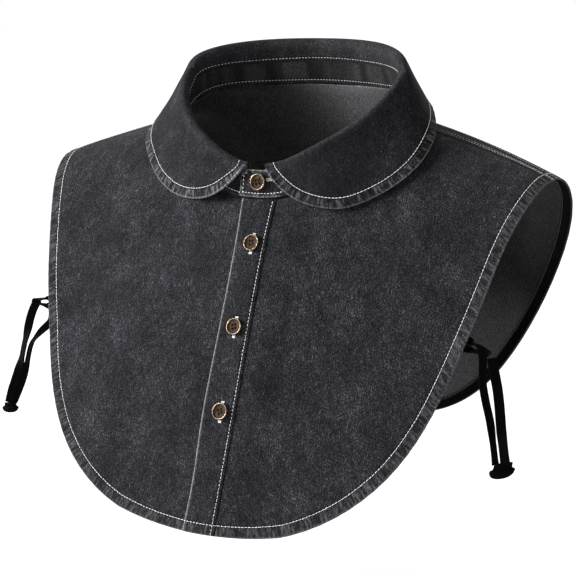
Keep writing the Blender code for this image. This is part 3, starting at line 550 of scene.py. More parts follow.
@dataclass
class ShellGrid:
    """Two skins of a piece of cloth, as grids of points, with what its materials read."""

    outer: Array
    inner: Array
    cloth: Array  # across and down the cloth, in metres
    fade: Array
    # painted shade: how far the materials darken each vertex, 0 to 1
    hollow: Array
    edge: Array | None = None  # along, share and distance, as the EDGE attribute has them
    # the inner skin's own fade: on the back it is painted light
    inner_wear_and_painted_light: Array | None = None  # for the inner skin, where it differs

    def build(self, name: str, outside: Material, inside: Material) -> Object:
        """A closed shell with its outside and inside dressed.

        Args:
            name: The piece's name.
            outside: The material of the outer skin and of the rim.
            inside: The material of the inner skin.

        Returns:
            The piece, at the origin.
        """
        rows, columns = self.outer.shape[:2]
        count = rows * columns
        points = np.concatenate([self.outer.reshape(-1, 3), self.inner.reshape(-1, 3)])
        at = np.arange(count).reshape(rows, columns)
        quads = np.stack([at[:-1, :-1], at[1:, :-1], at[1:, 1:], at[:-1, 1:]], axis=-1)
        quads = quads.reshape(-1, 4)
        rim = np.concatenate([at[0, :], at[1:, -1], at[-1, -2::-1], at[-2:0:-1, 0]])
        after = np.roll(rim, -1)
        walls = np.stack([rim, after, after + count, rim + count], axis=-1)
        faces = np.concatenate([quads, quads[:, ::-1] + count, walls])
        data = bpy.data.meshes.new(name)
        data.from_pydata(points.tolist(), [], faces.tolist())
        data.materials.append(outside)
        data.materials.append(inside)
        slots = np.repeat([0, 1, 0], [len(quads), len(quads), len(walls)])
        data.polygons.foreach_set("material_index", slots.astype(np.int32))
        inner_wear_and_painted_light = self.fade if self.inner_wear_and_painted_light is None else self.inner_wear_and_painted_light
        fades = np.concatenate([self.fade.ravel(), inner_wear_and_painted_light.ravel()])
        set_attribute(data, FADE, "FLOAT", fades)
        set_attribute(data, PAINTED_SHADE, "FLOAT", np.tile(self.hollow.ravel(), 2))
        far_away = np.full((count, 3), 9.0)
        edge = far_away if self.edge is None else self.edge.reshape(-1, 3)
        set_attribute(data, EDGE, "FLOAT_VECTOR", np.tile(edge, (2, 1)))
        corners = np.empty(len(data.loops), np.int32)
        data.loops.foreach_get("vertex_index", corners)
        places = np.tile(self.cloth.reshape(-1, 2), (2, 1))[corners]
        layer = data.uv_layers.new(name=CLOTH_UV)
        layer.data.foreach_set("uv", places.astype(np.float32).ravel())
        data.shade_smooth()
        data.validate()
        work = bmesh.new()
        work.from_mesh(data)
        if work.calc_volume(signed=True) < 0:
            bmesh.ops.reverse_faces(work, faces=work.faces)
            work.to_mesh(data)
        work.free()
        return link(data, name)


# ---- Nodes and finishes --------------------------------------------------------------
def fill(node: Node, inputs: dict[str | int, object]) -> None:
    """Sets a node's inputs, by name or number, to values or linked sockets."""
    for key, value in inputs.items():
        if isinstance(value, NodeSocket):
            node.id_data.links.new(value, node.inputs[key])
        else:
            node.inputs[key].default_value = value


def add_node(
    tree: NodeTree,
    kind: str,
    inputs: dict[str | int, object] | Sequence[object] = (),
    out: str | int = 0,
    stops: Sequence[tuple[float, str]] = (),
    **settings: object,
) -> NodeSocket | None:
    """Adds a node with its settings, values and links.

    Args:
        tree: The node tree it goes into.
        kind: The node's type name.
        inputs: Values or linked sockets, in order or by input name or number.
        out: Name or number of the output that is wanted.
        stops: Places and hex colours of a colour ramp.
        **settings: Properties of the node itself.

    Returns:
        That output, where the node has outputs.
    """
    node = tree.nodes.new(kind)
    for key, value in settings.items():
        setattr(node, key, value)
    elements = node.color_ramp.elements if stops else []
    while len(elements) < len(stops):
        elements.new(0.5)
    for element, (place, colour) in zip(elements, stops):
        element.position, element.color = place, linear(colour)
    fill(node, inputs if isinstance(inputs, dict) else dict(enumerate(inputs)))
    return node.outputs[out] if len(node.outputs) else None


MATH, RANGE, RAMP = "ShaderNodeMath", "ShaderNodeMapRange", "ShaderNodeValToRGB"
NOISE, WAVE, PLACE = "ShaderNodeTexNoise", "ShaderNodeTexWave", "ShaderNodeTexCoord"
MIX, BUMP, JOINED = "ShaderNodeMix", "ShaderNodeBump", "ShaderNodeCombineXYZ"
TIMES, TIMES_PLUS = {"operation": "MULTIPLY"}, {"operation": "MULTIPLY_ADD"}
CLAMPED = {"operation": "MULTIPLY_ADD", "use_clamp": True}
COLOURS = {"data_type": "RGBA", "clamp_factor": True, "out": 2}


def new_material(name: str) -> tuple[Material, Node, partial]:
    """A material, its shader node, and what adds nodes to its tree."""
    material = bpy.data.materials.new(name)
    material.use_nodes = True
    tree = material.node_tree
    return material, tree.nodes["Principled BSDF"], partial(add_node, tree)


@dataclass(frozen=True)
class WashedDenim:
    """Right-hand cotton twill in black, garment-washed: matt, heathered and pale where it rubs."""

    name: str = "washed_black_denim"
    deep: str = "#0E0E10"
    middle: str = "#242427"
    pale: str = "#3A3A3F"
    fleck: str = "#6A6A70"
    worn: str = "#808183"
    cool: str = "#3B3B49"
    warm: str = "#403F3B"
    roughness: float = 0.92  # cotton with a raised nap has next to no highlight
    sheen: float = 0.03  # the nap catches light at glancing angles
    shine: float = 0.06
    slub_width: float = 0.9 * MM  # a yarn is 0.4 mm; drawn coarser, so that it shows
    slub_length: float = 4.0 * MM
    grain: float = 0.85 * MM
    mottle: float = 22 * MM
    cloud: float = 5 * MM
    tint: float = 70 * MM
    twill_pitch: float = 1.6 * MM  # 0.8 mm in the cloth; drawn at twice that, so that it shows
    nap: float = 0.30 * MM  # height of the weave's relief
    rope: float = 1.9 * MM  # half the distance between the pulls across a turned edge
    rope_pale: float = 0.20
    rope_dark: float = 0.70
    rim: float = 0.9 * MM
    rim_pale: float = 0.30

    def texture(
        self, add: partial, place: NodeSocket, width: float, length: float, detail: float
    ) -> NodeSocket:
        """Noise on a plane's coordinates.

        Args:
            add: Adds nodes to the tree.
            place: The coordinates.
            width: Its features' width.
            length: Their length.
            detail: How many finer layers it has.

        Returns:
            The noise's value.
        """
        scaled = add("ShaderNodeMapping", {"Vector": place, "Scale": (1 / width, 1 / length, 0.0)})
        inputs = {"Vector": scaled, "Scale": 1.0, "Detail": detail, "Roughness": 0.6}
        return add(NOISE, inputs, noise_dimensions="2D")

    def weave(self, add: partial, place: NodeSocket) -> NodeSocket:
        """Light and dark of the yarns: flecks of undyed weft, upright slubs and a hint of twill."""
        slub = self.texture(add, place, self.slub_width, self.slub_length, 2.0)
        weft = self.texture(add, place, self.slub_length, self.slub_width, 2.0)
        grain = self.texture(add, place, self.grain, self.grain * 1.3, 0.0)
        flecks = add(RANGE, (grain, 0.36, 0.66))
        # a wave node at scale 0.444 repeats once in a metre along its diagonal
        period = {"Vector": place, "Scale": 0.444 / self.twill_pitch, "Distortion": 0.6}
        twill = add(WAVE, {**period, "Detail": 1.0}, 1, bands_direction="DIAGONAL")
        yarns = add(MATH, (slub, 0.95, add(MATH, (flecks, 0.42), **TIMES)), **TIMES_PLUS)
        yarns = add(MATH, (weft, 0.45, yarns), **TIMES_PLUS)
        return add(MATH, (twill, 0.08, yarns), **TIMES_PLUS)

    def turned(self, add: partial, cloth: NodeSocket) -> NodeSocket:
        """Pulls across a turned edge: dark between puckers, pale on their crests and the rim."""
        edge = add("ShaderNodeAttribute", out="Vector", attribute_name=EDGE)
        share = add("ShaderNodeSeparateXYZ", (edge,), 1)
        distance = add("ShaderNodeSeparateXYZ", (edge,), 2)
        band = add(RANGE, (share, 0.82, 0.98, 1.0, 0.0))
        pulls = self.texture(add, edge, self.rope, 1.3, 2.5)
        crest = add(MATH, (add(RANGE, (pulls, 0.50, 0.72)), band), **TIMES)
        pit = add(MATH, (add(RANGE, (pulls, 0.48, 0.30)), band), **TIMES)
        beads = self.texture(add, edge, self.rope * 0.7, 9.0, 1.0)
        rim = add(RANGE, (distance, self.rim * 0.3, self.rim, 1.0, 0.0))
        rim = add(MATH, (rim, add(MATH, (beads, 3.0, -0.95), **CLAMPED)), **TIMES)
        pale = add(MATH, (crest, self.rope_pale), **TIMES)
        pale = add(MATH, (rim, self.rim_pale, pale), **TIMES_PLUS)
        low = add(MATH, (pit, self.rope_dark), **TIMES)
        cloth = add(MIX, {0: low, 6: cloth, 7: linear("#0B0B0C")}, **COLOURS)
        return add(MIX, {0: pale, 6: cloth, 7: linear(self.worn)}, **COLOURS)

    def material(self) -> Material:
        """The finish as a material that reads the cloth's UV map, its wear and painted light, and
        its painted shade.
        """
        material, shader, add = new_material(self.name)
        place = add("ShaderNodeUVMap", uv_map=CLOTH_UV)
        mottle = self.texture(add, place, self.mottle, self.mottle * 1.5, 5.0)
        cloud = self.texture(add, place, self.cloud, self.cloud * 1.4, 2.0)
        tint = self.texture(add, place, self.tint, self.tint, 2.0)
        weave = self.weave(add, place)
        tone = add(MATH, (mottle, 0.70, weave), **TIMES_PLUS)
        tone = add(MATH, (cloud, 0.45, tone), **TIMES_PLUS)
        tone = add(MATH, (tone, 0.85, -0.915), **CLAMPED)
        tones = ((0.06, self.deep), (0.40, self.middle), (0.66, self.pale), (1.0, self.fleck))
        cloth = add(RAMP, (tone,), stops=tones)
        tinted = add(MATH, (tint, 3.0, -1.0), **CLAMPED)
        hue = add(MIX, {0: tinted, 6: linear(self.cool), 7: linear(self.warm)}, **COLOURS)
        cloth = add(MIX, {0: 0.45, 6: cloth, 7: hue}, blend_type="SOFT_LIGHT", **COLOURS)
        cloth = self.turned(add, cloth)
        # wear, and painted light on the back's inner skin
        worn = add("ShaderNodeAttribute", out="Fac", attribute_name=FADE)
        rubbed = add(MATH, (weave, 0.9, -0.15), **TIMES_PLUS)
        worn = add(MATH, (worn, rubbed), use_clamp=True, **TIMES)
        cloth = add(MIX, {0: worn, 6: cloth, 7: linear(self.worn)}, **COLOURS)
        # painted shade: creases, grooves and hollows of the roping turn near black
        hollow = add("ShaderNodeAttribute", out="Fac", attribute_name=PAINTED_SHADE)
        hollow = add(MATH, (hollow, 0.75), **TIMES)
        cloth = add(MIX, {0: hollow, 6: cloth, 7: linear("#070708")}, **COLOURS)
        relief = add(BUMP, {"Strength": 0.8, "Distance": self.nap, "Height": weave})
        lustre = {"Sheen Weight": self.sheen, "Specular IOR Level": self.shine}
        finish = {"Base Color": cloth, "Normal": relief, "Roughness": self.roughness}
        fill(shader, {**finish, **lustre})
        return material


@dataclass(frozen=True)
class CottonThread:
    """Two-ply cotton sewing thread: matt, with the twist as fine slanting shade."""

    name: str = "cotton_topstitch"
    colour: str = "#DCDCDA"
    shade: str = "#8E8E8C"
    twist: float = 0.5 * MM

    def material(self) -> Material:
        """The finish as a material on Object coordinates."""
        material, shader, add = new_material(self.name)
        place = add(PLACE, out="Object")
        inputs = {"Vector": place, "Scale": 1 / self.twist, "Detail": 2.0, "Roughness": 0.6}
        colour = add(RAMP, (add(NOISE, inputs),), stops=((0.30, self.shade), (0.58, self.colour)))
        fill(shader, {"Base Color": colour, "Roughness": 0.75, "Sheen Weight": 0.1})
        return material


@dataclass(frozen=True)
class RibbedTape:
    """Black polyester twill tape: fine ribs along it and a slight lustre on their tops."""

    name: str = "black_ribbed_tape"
    colour: str = "#020202"
    crest: str = "#050505"
    rib: float = 0.9 * MM  # 0.6 mm in the tape; drawn coarser, so that it shows
    pick: float = 0.72 * MM

    def material(self) -> Material:
        """The finish as a material on the tape's own UV map."""
        material, shader, add = new_material(self.name)
        place = add("ShaderNodeUVMap", uv_map=CLOTH_UV)
        # a wave node at scale 0.314 repeats once in a metre
        across, along = ({"Vector": place, "Scale": 0.314 / size} for size in (self.rib, self.pick))
        ribs = add(WAVE, across, 1, bands_direction="X")
        picks = add(WAVE, along, 1, bands_direction="Y")
        weave = add(MATH, (picks, 0.35, ribs), **TIMES_PLUS)
        colour = add(RAMP, (weave,), stops=((0.25, self.colour), (1.0, self.crest)))
        relief = add(BUMP, {"Strength": 0.6, "Distance": 0.12 * MM, "Height": weave})
        finish = {"Base Color": colour, "Normal": relief, "Roughness": 0.62}
        fill(shader, {**finish, "Specular IOR Level": 0.02})
        return material


@dataclass(frozen=True)
class AgedBrass:
    """Die-cast brass with an antique wash, laid on in dark and bright blotches."""

    name: str = "antique_brass"
    bright: str = "#857662"
    dark: str = "#352B22"
    blotch: float = 1.4 * MM

    def material(self) -> Material:
        """The finish as a material on Object coordinates."""
        material, shader, add = new_material(self.name)
        place = add(PLACE, out="Object")
        inputs = {"Vector": place, "Scale": 1 / self.blotch, "Detail": 4.0, "Roughness": 0.65}
        wash = add(NOISE, inputs)
        colour = add(RAMP, (wash,), stops=((0.32, self.dark), (0.56, self.bright)))
        rough = add(RANGE, {"Value": wash, 3: 0.50, 4: 0.26})
        fill(shader, {"Base Color": colour, "Roughness": rough, "Metallic": 1.0})
        return material


@dataclass(frozen=True)
class HornDish:
    """Polished brown horn in the button's dish: dark, streaked and softly glossy."""

    name: str = "brown_horn"
    dark: str = "#241A13"
    streak: str = "#453527"

    def material(self) -> Material:
        """The finish as a material on Object coordinates."""
        material, shader, add = new_material(self.name)
        grain = {"Vector": add(PLACE, out="Object"), "Scale": (900.0, 300.0, 300.0)}  # per metre
        stretched = add("ShaderNodeMapping", grain)
        streaks = add(NOISE, {"Vector": stretched, "Scale": 1.0, "Detail": 3.0})
        colour = add(RAMP, (streaks,), stops=((0.38, self.dark), (0.68, self.streak)))
        fill(shader, {"Base Color": colour, "Roughness": 0.60, "Specular IOR Level": 0.04})
        return material


class Finishes:
    """Every material of the collar, made once."""

    def __init__(self) -> None:
        """Makes the materials."""
        self.denim = WashedDenim().material()
        # the wrong side of the denim, drawn darker than its face: painted shade for the shadowed
        # insides
        self.inside = WashedDenim(
            "wrong_side_with_painted_shade", "#0B0B0B", "#1B1B1C", "#29292B", "#3C3C3E", "#5A5A5C"
        ).material()
        self.collar = WashedDenim(
            "collar_denim", middle="#1F1F22", pale="#333337", fleck="#5E5E63", worn="#8C8C8E",
            rope_pale=0.30, rim_pale=0.60,
        ).material()
        self.facing = WashedDenim(
            "black_facing", "#030303", "#060606", "#090909", "#121212", "#161616", "#0D0D0E",
            "#0D0D0C", sheen=0.0, shine=0.03,
        ).material()
        self.tape = RibbedTape().material()
        self.thread = CottonThread().material()
        # a greyer copy of the topstitch thread: painted shade for rows that lie in shadow
        self.shaded_thread = CottonThread("thread_with_painted_shade", "#A9A9A7", "#626261").material()
        self.dark_thread = CottonThread("dark_thread", "#3A3632", "#1C1917").material()
        self.button_thread = CottonThread("black_brown_thread", "#1A1613", "#0D0B09").material()
        self.brass = AgedBrass().material()
        self.horn = HornDish().material()
        # a near-black copy of the horn for the walls of the holes: painted shade
        self.hole = HornDish("hole_wall_painted_shade", "#030202", "#070504").material()


# ---- Stitching -----------------------------------------------------------------------
class Lay(Enum):
    """How a row's stitches lie to their line."""

    ALONG = 0.0
    ACROSS = math.pi / 2


@dataclass(frozen=True)
class StitchKind:
    """One sort of stitch: its sizes in metres and how it lies."""

    pitch: float = 2.4 * MM
    length: float = 1.85 * MM
    radius: float = 0.24 * MM
    lift: float = 0.20 * MM  # how far its middle arches over its ends
    lay: Lay = Lay.ALONG
    scatter: float = 0.05  # random turn in radians

    def values(self) -> dict[str, float]:
        """Its sizes, by the names that the node tree's inputs have."""
        return {
            "Pitch": self.pitch, "Length": self.length, "Radius": self.radius,
            "Lift": self.lift, "Turn": self.lay.value, "Scatter": self.scatter,
        }


class StitchTree:
    """Geometry Nodes that sew a seam line: a bowed length of thread at each pitch."""

    def __init__(self) -> None:
        """Builds the node tree, with an ordinary stitch's sizes as its inputs."""
        self.tree = tree = bpy.data.node_groups.new("seam_stitches", "GeometryNodeTree")
        sizes = {**StitchKind().values(), "Seed": 1}
        kinds = {"Geometry": "Geometry", **dict.fromkeys(sizes, "Float"), "Seed": "Int"}
        for name, kind in {**kinds, "Thread": "Material"}.items():
            typed = f"NodeSocket{kind}"
            socket = tree.interface.new_socket(name, in_out="INPUT", socket_type=typed)
            if name in sizes:
                socket.default_value = sizes[name]
        typed = "NodeSocketGeometry"
        tree.interface.new_socket("Geometry", in_out="OUTPUT", socket_type=typed)
        given = tree.nodes.new("NodeGroupInput").outputs
        add = partial(add_node, tree)
        line = add("GeometryNodeMeshToCurve", {"Mesh": given["Geometry"]})
        spaced = {"Curve": line, "Length": given["Pitch"]}
        points = add("GeometryNodeCurveToPoints", spaced, "Points", mode="LENGTH")
        named = {"Name": FACE}
        face = add("GeometryNodeInputNamedAttribute", named, data_type="FLOAT_VECTOR")
        lie = add(
            "FunctionNodeAxesToRotation", (face, points.node.outputs["Tangent"]),
            primary_axis="Z", secondary_axis="X",
        )
        spread = {"Min": -1.0, "Max": 1.0, "Seed": given["Seed"]}
        jitter = add("FunctionNodeRandomValue", spread, "Value", data_type="FLOAT")
        slew = add(MATH, (jitter, given["Scatter"]), **TIMES)
        slew = add(MATH, (slew, given["Turn"]), operation="ADD")
        upright = {"Axis": (0.0, 0.0, 1.0), "Angle": slew}
        spin = add("FunctionNodeAxisAngleToRotation", upright)
        turned = add("FunctionNodeRotateRotation", (lie, spin), rotation_space="LOCAL")
        half = add(MATH, (given["Length"], 0.5), **TIMES)
        sunk = add(MATH, (given["Radius"], -0.8), **TIMES)
        back = add(MATH, (half, -1.0), **TIMES)
        arch = add(MATH, (given["Lift"], 2.0, given["Radius"]), **TIMES_PLUS)
        start = add(JOINED, {0: back, 2: sunk})
        end = add(JOINED, {0: half, 2: sunk})
        ends = {"Start": start, "Middle": add(JOINED, {2: arch}), "End": end}
        bow = add("GeometryNodeCurveQuadraticBezier", {"Resolution": 5, **ends})
        circle = {"Resolution": 5, "Radius": given["Radius"]}
        ring = add("GeometryNodeCurvePrimitiveCircle", circle, "Curve")
        profile = {"Curve": bow, "Profile Curve": ring, "Fill Caps": True}
        thread = add("GeometryNodeCurveToMesh", profile)
        laid = {"Points": points, "Instance": thread, "Rotation": turned}
        sewn = add("GeometryNodeInstanceOnPoints", laid)
        real = add("GeometryNodeRealizeInstances", {"Geometry": sewn})
        smooth = add("GeometryNodeSetShadeSmooth", {"Geometry": real})
        worn = {"Geometry": smooth, "Material": given["Thread"]}
        add("NodeGroupOutput", (add("GeometryNodeSetMaterial", worn),))

    def sew(
        self, name: str, lines: Sequence[Line], kind: StitchKind, thread: Material, seed: int
    ) -> Object:
        """Sews several seam lines as one piece.

        Args:
            name: The piece's name.
            lines: For each line, its points and the cloth's outward directions there.
            kind: The sort of stitch.
            thread: The thread's material.
            seed: Chooses the stitches' small turns.

        Returns:
            The stitches as a plain mesh.
        """
        edges, start = [], 0
        for line, _ in lines:
            edges += [(start + i, start + i + 1) for i in range(len(line) - 1)]
            start += len(line)
        data = bpy.data.meshes.new(f"{name}_line")
        data.from_pydata(np.concatenate([line for line, _ in lines]).tolist(), edges, [])
        set_attribute(data, FACE, "FLOAT_VECTOR", np.concatenate([face for _, face in lines]))
        seam = link(data, f"{name}_line")
        nodes = seam.modifiers.new("stitches", "NODES")
        nodes.node_group = self.tree
        values = {**kind.values(), "Seed": seed, "Thread": thread}
        for item in self.tree.interface.items_tree:
            if item.item_type == "SOCKET" and item.in_out == "INPUT" and item.name in values:
                nodes[item.identifier] = values[item.name]
        graph = bpy.context.evaluated_depsgraph_get()
        made = bpy.data.meshes.new_from_object(seam.evaluated_get(graph), depsgraph=graph)
        made.name = name
        bpy.data.objects.remove(seam)
        if FACE in made.attributes:
            made.attributes.remove(made.attributes[FACE])
        return link(made, name)


def seated(carrier: Object, line: Line, lift: float = 0.0) -> Line:
    """Moves a line along its directions until it lies on a piece of cloth.

    Args:
        carrier: The cloth that it lies on.
        line: Points near the cloth, and its rough outward directions there.
        lift: Distance off the cloth.

    Returns:
        Points on the cloth, and the directions, without the points that miss the cloth.
    """
    placed, faces = [], []
    reach = 8 * MM
    for point, normal in zip(*line):
        towards = Vector(-normal)
        start = Vector(point + normal * reach)
        hit, spot, _, _ = carrier.ray_cast(start, towards, distance=2 * reach)
        if hit:
            placed.append(np.array(spot) + normal * lift)
            faces.append(normal)
    return np.array(placed), np.array(faces)


# ---- Turned edges --------------------------------------------------------------------
@dataclass(frozen=True)
class TurnedEdge:
    """A turned and topstitched edge that has shrunk in the wash, so it ropes and wears."""

    width: float = 6.7 * MM  # from the edge to the row of stitches
    rope_length: float = 3.4 * MM
    rope_height: float = 0.42 * MM
    slant: float = 0.35
    groove_depth: float = 0.32 * MM
    groove_width: float = 0.55 * MM
    worn_rope: float = 0.05
    worn_rim: float = 0.12
    seed: int = 1

    def ropes(self, from_edge: Array, along: Array) -> Array:
        """How high the roping stands, -1 to 1, at distances from and along the edge."""
        leaning = along + self.slant * from_edge
        coarse = wander(leaning / self.rope_length, self.seed)
        fine = wander(leaning / (self.rope_length * 0.45), self.seed + 1)
        return 0.78 * coarse + 0.3 * fine

    def band(self, from_edge: Array) -> Array:
        """1 within the turned band, fading at the edge and at the stitches."""
        inner = smooth_step(from_edge, self.width * 0.80, self.width)
        return smooth_step(from_edge, 0.0, 1.2 * MM) * (1 - inner)

    def relief(self, from_edge: Array, along: Array) -> Array:
        """Height of the roping, the groove at the stitches and the pull marks beside it."""
        inside = hump(from_edge, self.width + 2.0 * MM, 2.2 * MM) * (from_edge > self.width)
        pulls = wander(along / (self.rope_length * 0.8), self.seed + 2) * inside * 0.10 * MM
        groove = -self.groove_depth * hump(from_edge, self.width, self.groove_width)
        roped = self.rope_height * self.ropes(from_edge, along) * self.band(from_edge)
        return roped + groove + pulls

    def fade(self, from_edge: Array, along: Array) -> Array:
        """How far the dye is worn off."""
        rope = np.clip(self.ropes(from_edge, along), -0.35, 1.0)
        patchy = 0.6 + 0.4 * wander(along / (3 * self.rope_length), self.seed + 3)
        rim = self.worn_rim * hump(from_edge, 0.0, 0.75 * MM) * patchy
        return np.clip(self.worn_rope * rope * self.band(from_edge) + rim, 0.0, 1.0)

    def places(self, from_edge: Array, along: Array) -> Array:
        """What the EDGE attribute holds."""
        return np.stack([along, from_edge / self.width, from_edge], axis=-1)

    def hollow(self, from_edge: Array, along: Array) -> Array:
        """Painted shade: how deep in a hollow of the roping or in the groove."""
        low = np.clip(-self.ropes(from_edge, along) - 0.15, 0.0, 1.0) * self.band(from_edge)
        groove = hump(from_edge, self.width, self.groove_width * 1.2)
        return np.clip(0.25 * low + 0.8 * groove, 0.0, 1.0)


@dataclass(frozen=True)
class Crease:
    """A soft trough or ridge in the cloth, from one place to another."""

    out: float
    down: float
    to_out: float
    to_down: float
    width: float
    height: float  # below zero for a trough

    def relief(self, out: Array, down: Array) -> Array:
        """Its height at places on the cloth."""
        run_out, run_down = self.to_out - self.out, self.to_down - self.down
        length = math.hypot(run_out, run_down)
        along = ((out - self.out) * run_out + (down - self.down) * run_down) / length**2
        aside = ((out - self.out) * run_down - (down - self.down) * run_out) / length
        ends = smooth_step(along, -0.25, 0.3) * (1 - smooth_step(along, 0.7, 1.25))
        return self.height * np.exp(-((aside / self.width) ** 2)) * ends


# ---- Bibs ----------------------------------------------------------------------------
HEM_ROWS = (
    16, 13.5, 11.5, 10, 9, 8.2, 7.6, 7.1, 6.7, 6.3, 5.8, 5.1, 4.3, 3.5, 2.7, 2.0, 1.4, 0.9, 0.5,
    0.2, 0,
)  # distances from the outer edge, in mm


@dataclass
class Bib:
    """A layer of denim between the neck seam and a turned, stitched outer edge."""

    form: WornForm
    name: str
    edge: TurnedEdge
    in_front: bool = True
    side: float = 1.0  # -1 for the right front, which is made as a left one and mirrored
    cloth: float = 1.2 * MM
    columns: int = 780
    body_rows: int = 30
    edge_points: int = 1600
    ridge_margin: float = 0.6 * MM  # rows of stitches end this far from the shoulder ridge

    def turns(self, spread: Array) -> tuple[Array, Array]:
        """Neck and edge turns at shares of the way round the layer."""
        raise NotImplementedError

    def edge_line(self) -> Array:
        """Out and down of closely spaced points along the outer edge."""
        turns = self.turns(np.linspace(0.0, 1.0, self.edge_points))[1]
        return np.stack(self.form.outer_edge(turns, self.in_front), axis=-1)

    def placed(self, points: Array) -> Array:
        """The points on this layer's own side."""
        return points * (self.side, 1.0, 1.0)

    def laid(self, distances: Array, body_rows: int, start: float = 0.0) -> tuple[Array, ...]:
        """Grids of the layer, or of a strip along its outer edge.

        Args:
            distances: Distances of the last rows from the outer edge, falling.
            body_rows: Rows from the neck seam to the first of those, or none.
            start: Share of the way left out at each end.

        Returns:
            Points, directions, out, down and the distances from and along the edge.
        """
        spread = np.linspace(start, 1.0 - start, self.columns)
        neck, edge = (turns[None, :] for turns in self.turns(spread))
        neck_out, neck_down, _ = self.form.neck_on_cloth(neck)
        edge_out, edge_down = self.form.outer_edge(edge, self.in_front)
        length = np.hypot(edge_out - neck_out, edge_down - neck_down)
        share = 1 - np.asarray(distances)[:, None] / length
        if body_rows:
            body = np.linspace(0.0, 1.0, body_rows)[:-1, None] * share[0]
            share = np.vstack([body, share])
        spots = (neck, edge, share, self.in_front)
        out, down, _, _ = self.form.flat_place(*spots)
        points = self.form.bib(*spots, seam_edge=self.form.seam_gap / 2)
        from_edge, along = nearest_on_line(np.stack([out, down], axis=-1), self.edge_line())
        return points, self.form.bib_normals(*spots), out, down, from_edge, along

    def on_cloth(self, out: Array, down: Array) -> Line:
        """Points and directions on this layer's own side."""
        normals = self.form.sheet_normal(out, down)
        return self.placed(self.form.cloth(out, down)), self.placed(normals)

    def hem_line(self, inset: float, inside: bool = False) -> Line:
        """Points near the cloth this far inside its outer edge, and directions there."""
        edge = self.edge_line()
        step = unit(np.gradient(edge, axis=0))
        line = edge + np.stack([step[:, 1], -step[:, 0]], axis=-1) * inset
        beyond = line[:, 1] if self.in_front else -line[:, 1]
        points, normals = self.on_cloth(*line[beyond > self.ridge_margin].T)
        return points, -normals if inside else normals

    def shoulder_line(self, at_neck: float, at_tip: float, side: float = 1.0) -> Line:
        """Points near the cloth along a shoulder seam, at these downs at neck and tip."""
        ends = (self.form.seam_half_width + 1.5 * MM, self.form.shoulder_half_width - 1.0 * MM)
        out = np.linspace(*ends, 300)
        down = at_neck + (at_tip - at_neck) * smooth_step(out, *ends)
        return self.on_cloth(out * side, down)


@dataclass
class FrontBib(Bib):
    """One front, whose outer edge is turned in twice."""

    first_out: float = -0.0065  # of its centre edge
    lap: float = 0.0  # the left front stands out this far to pass over the right
    lap_ramp: tuple[float, float] = (0.018, 0.048)
    hem_depth: float = 1.0 * MM
    creases: tuple[Crease, ...] = ()

    def turns(self, spread: Array) -> tuple[Array, Array]:
        """Neck and edge turns, from the centre edge to the shoulder seam."""
        neck = math.asin(self.first_out / self.form.seam_half_width)
        edge = math.asin(self.first_out / self.form.front_reach[0])
        shoulder = self.form.shoulder_turn()
        return neck + (shoulder - neck) * spread, edge + (self.form.tip_turn - edge) * spread

    def relief(self, out: Array, down: Array) -> Array:
        """Height of the creases and of the slight unevenness of washed cloth."""
        uneven = wander(out / 0.031 + down / 0.043 + 40, 61)
        total = 0.5 * MM * uneven * wander(down / 0.052 - out / 0.060 + 40, 62)
        for crease in self.creases:
            total = total + crease.relief(out * self.side, down)
        return total - 0.5 * MM * self.shoulder_groove(out, down)

    def shoulder_groove(self, out: Array, down: Array) -> Array:
        """The dip below the shoulder seam's rows."""
        first = self.form.seam_half_width
        middle = (14.5 - 7.0 * smooth_step(out, first, self.form.shoulder_half_width)) * MM
        return hump(down, middle, 1.4 * MM) * smooth_step(out, first - 6 * MM, first + 4 * MM)

    def build(self, finishes: Finishes) -> Object:
        """The front as a closed shell."""
        rows = np.array(HEM_ROWS) * MM
        points, normals, out, down, from_edge, along = self.laid(rows, self.body_rows)
        height = self.edge.relief(from_edge, along) + self.relief(out, down)
        thick = self.cloth / 2 * edge_round(from_edge, self.cloth / 2)
        width, ramp = self.edge.width, self.lap_ramp
        turned = self.hem_depth * (1 - smooth_step(from_edge, width, width + 1.5 * MM))
        turned = turned * edge_round(from_edge, self.cloth)
        if self.lap:
            turned = turned * smooth_step(out, ramp[0], ramp[0] + 0.012)
        lap = self.lap * (1 - smooth_step(out, *ramp))
        quiet = height * smooth_step(out, 0.016, 0.024)
        # painted shade in the roping's hollows and the groove; below, also in the dip under the
        # shoulder rows
        hollow = self.edge.hollow(from_edge, along)
        grid = ShellGrid(
            self.placed(points + normals * (lap + thick + quiet)[..., None]),
            self.placed(points + normals * (lap - thick - turned + quiet * 0.5)[..., None]),
            np.stack([out * self.side, down], axis=-1),
            self.edge.fade(from_edge, along),
            np.maximum(hollow, 0.75 * self.shoulder_groove(out, down)),
            self.edge.places(from_edge, along),
        )
        return grid.build(self.name, finishes.denim, finishes.inside)


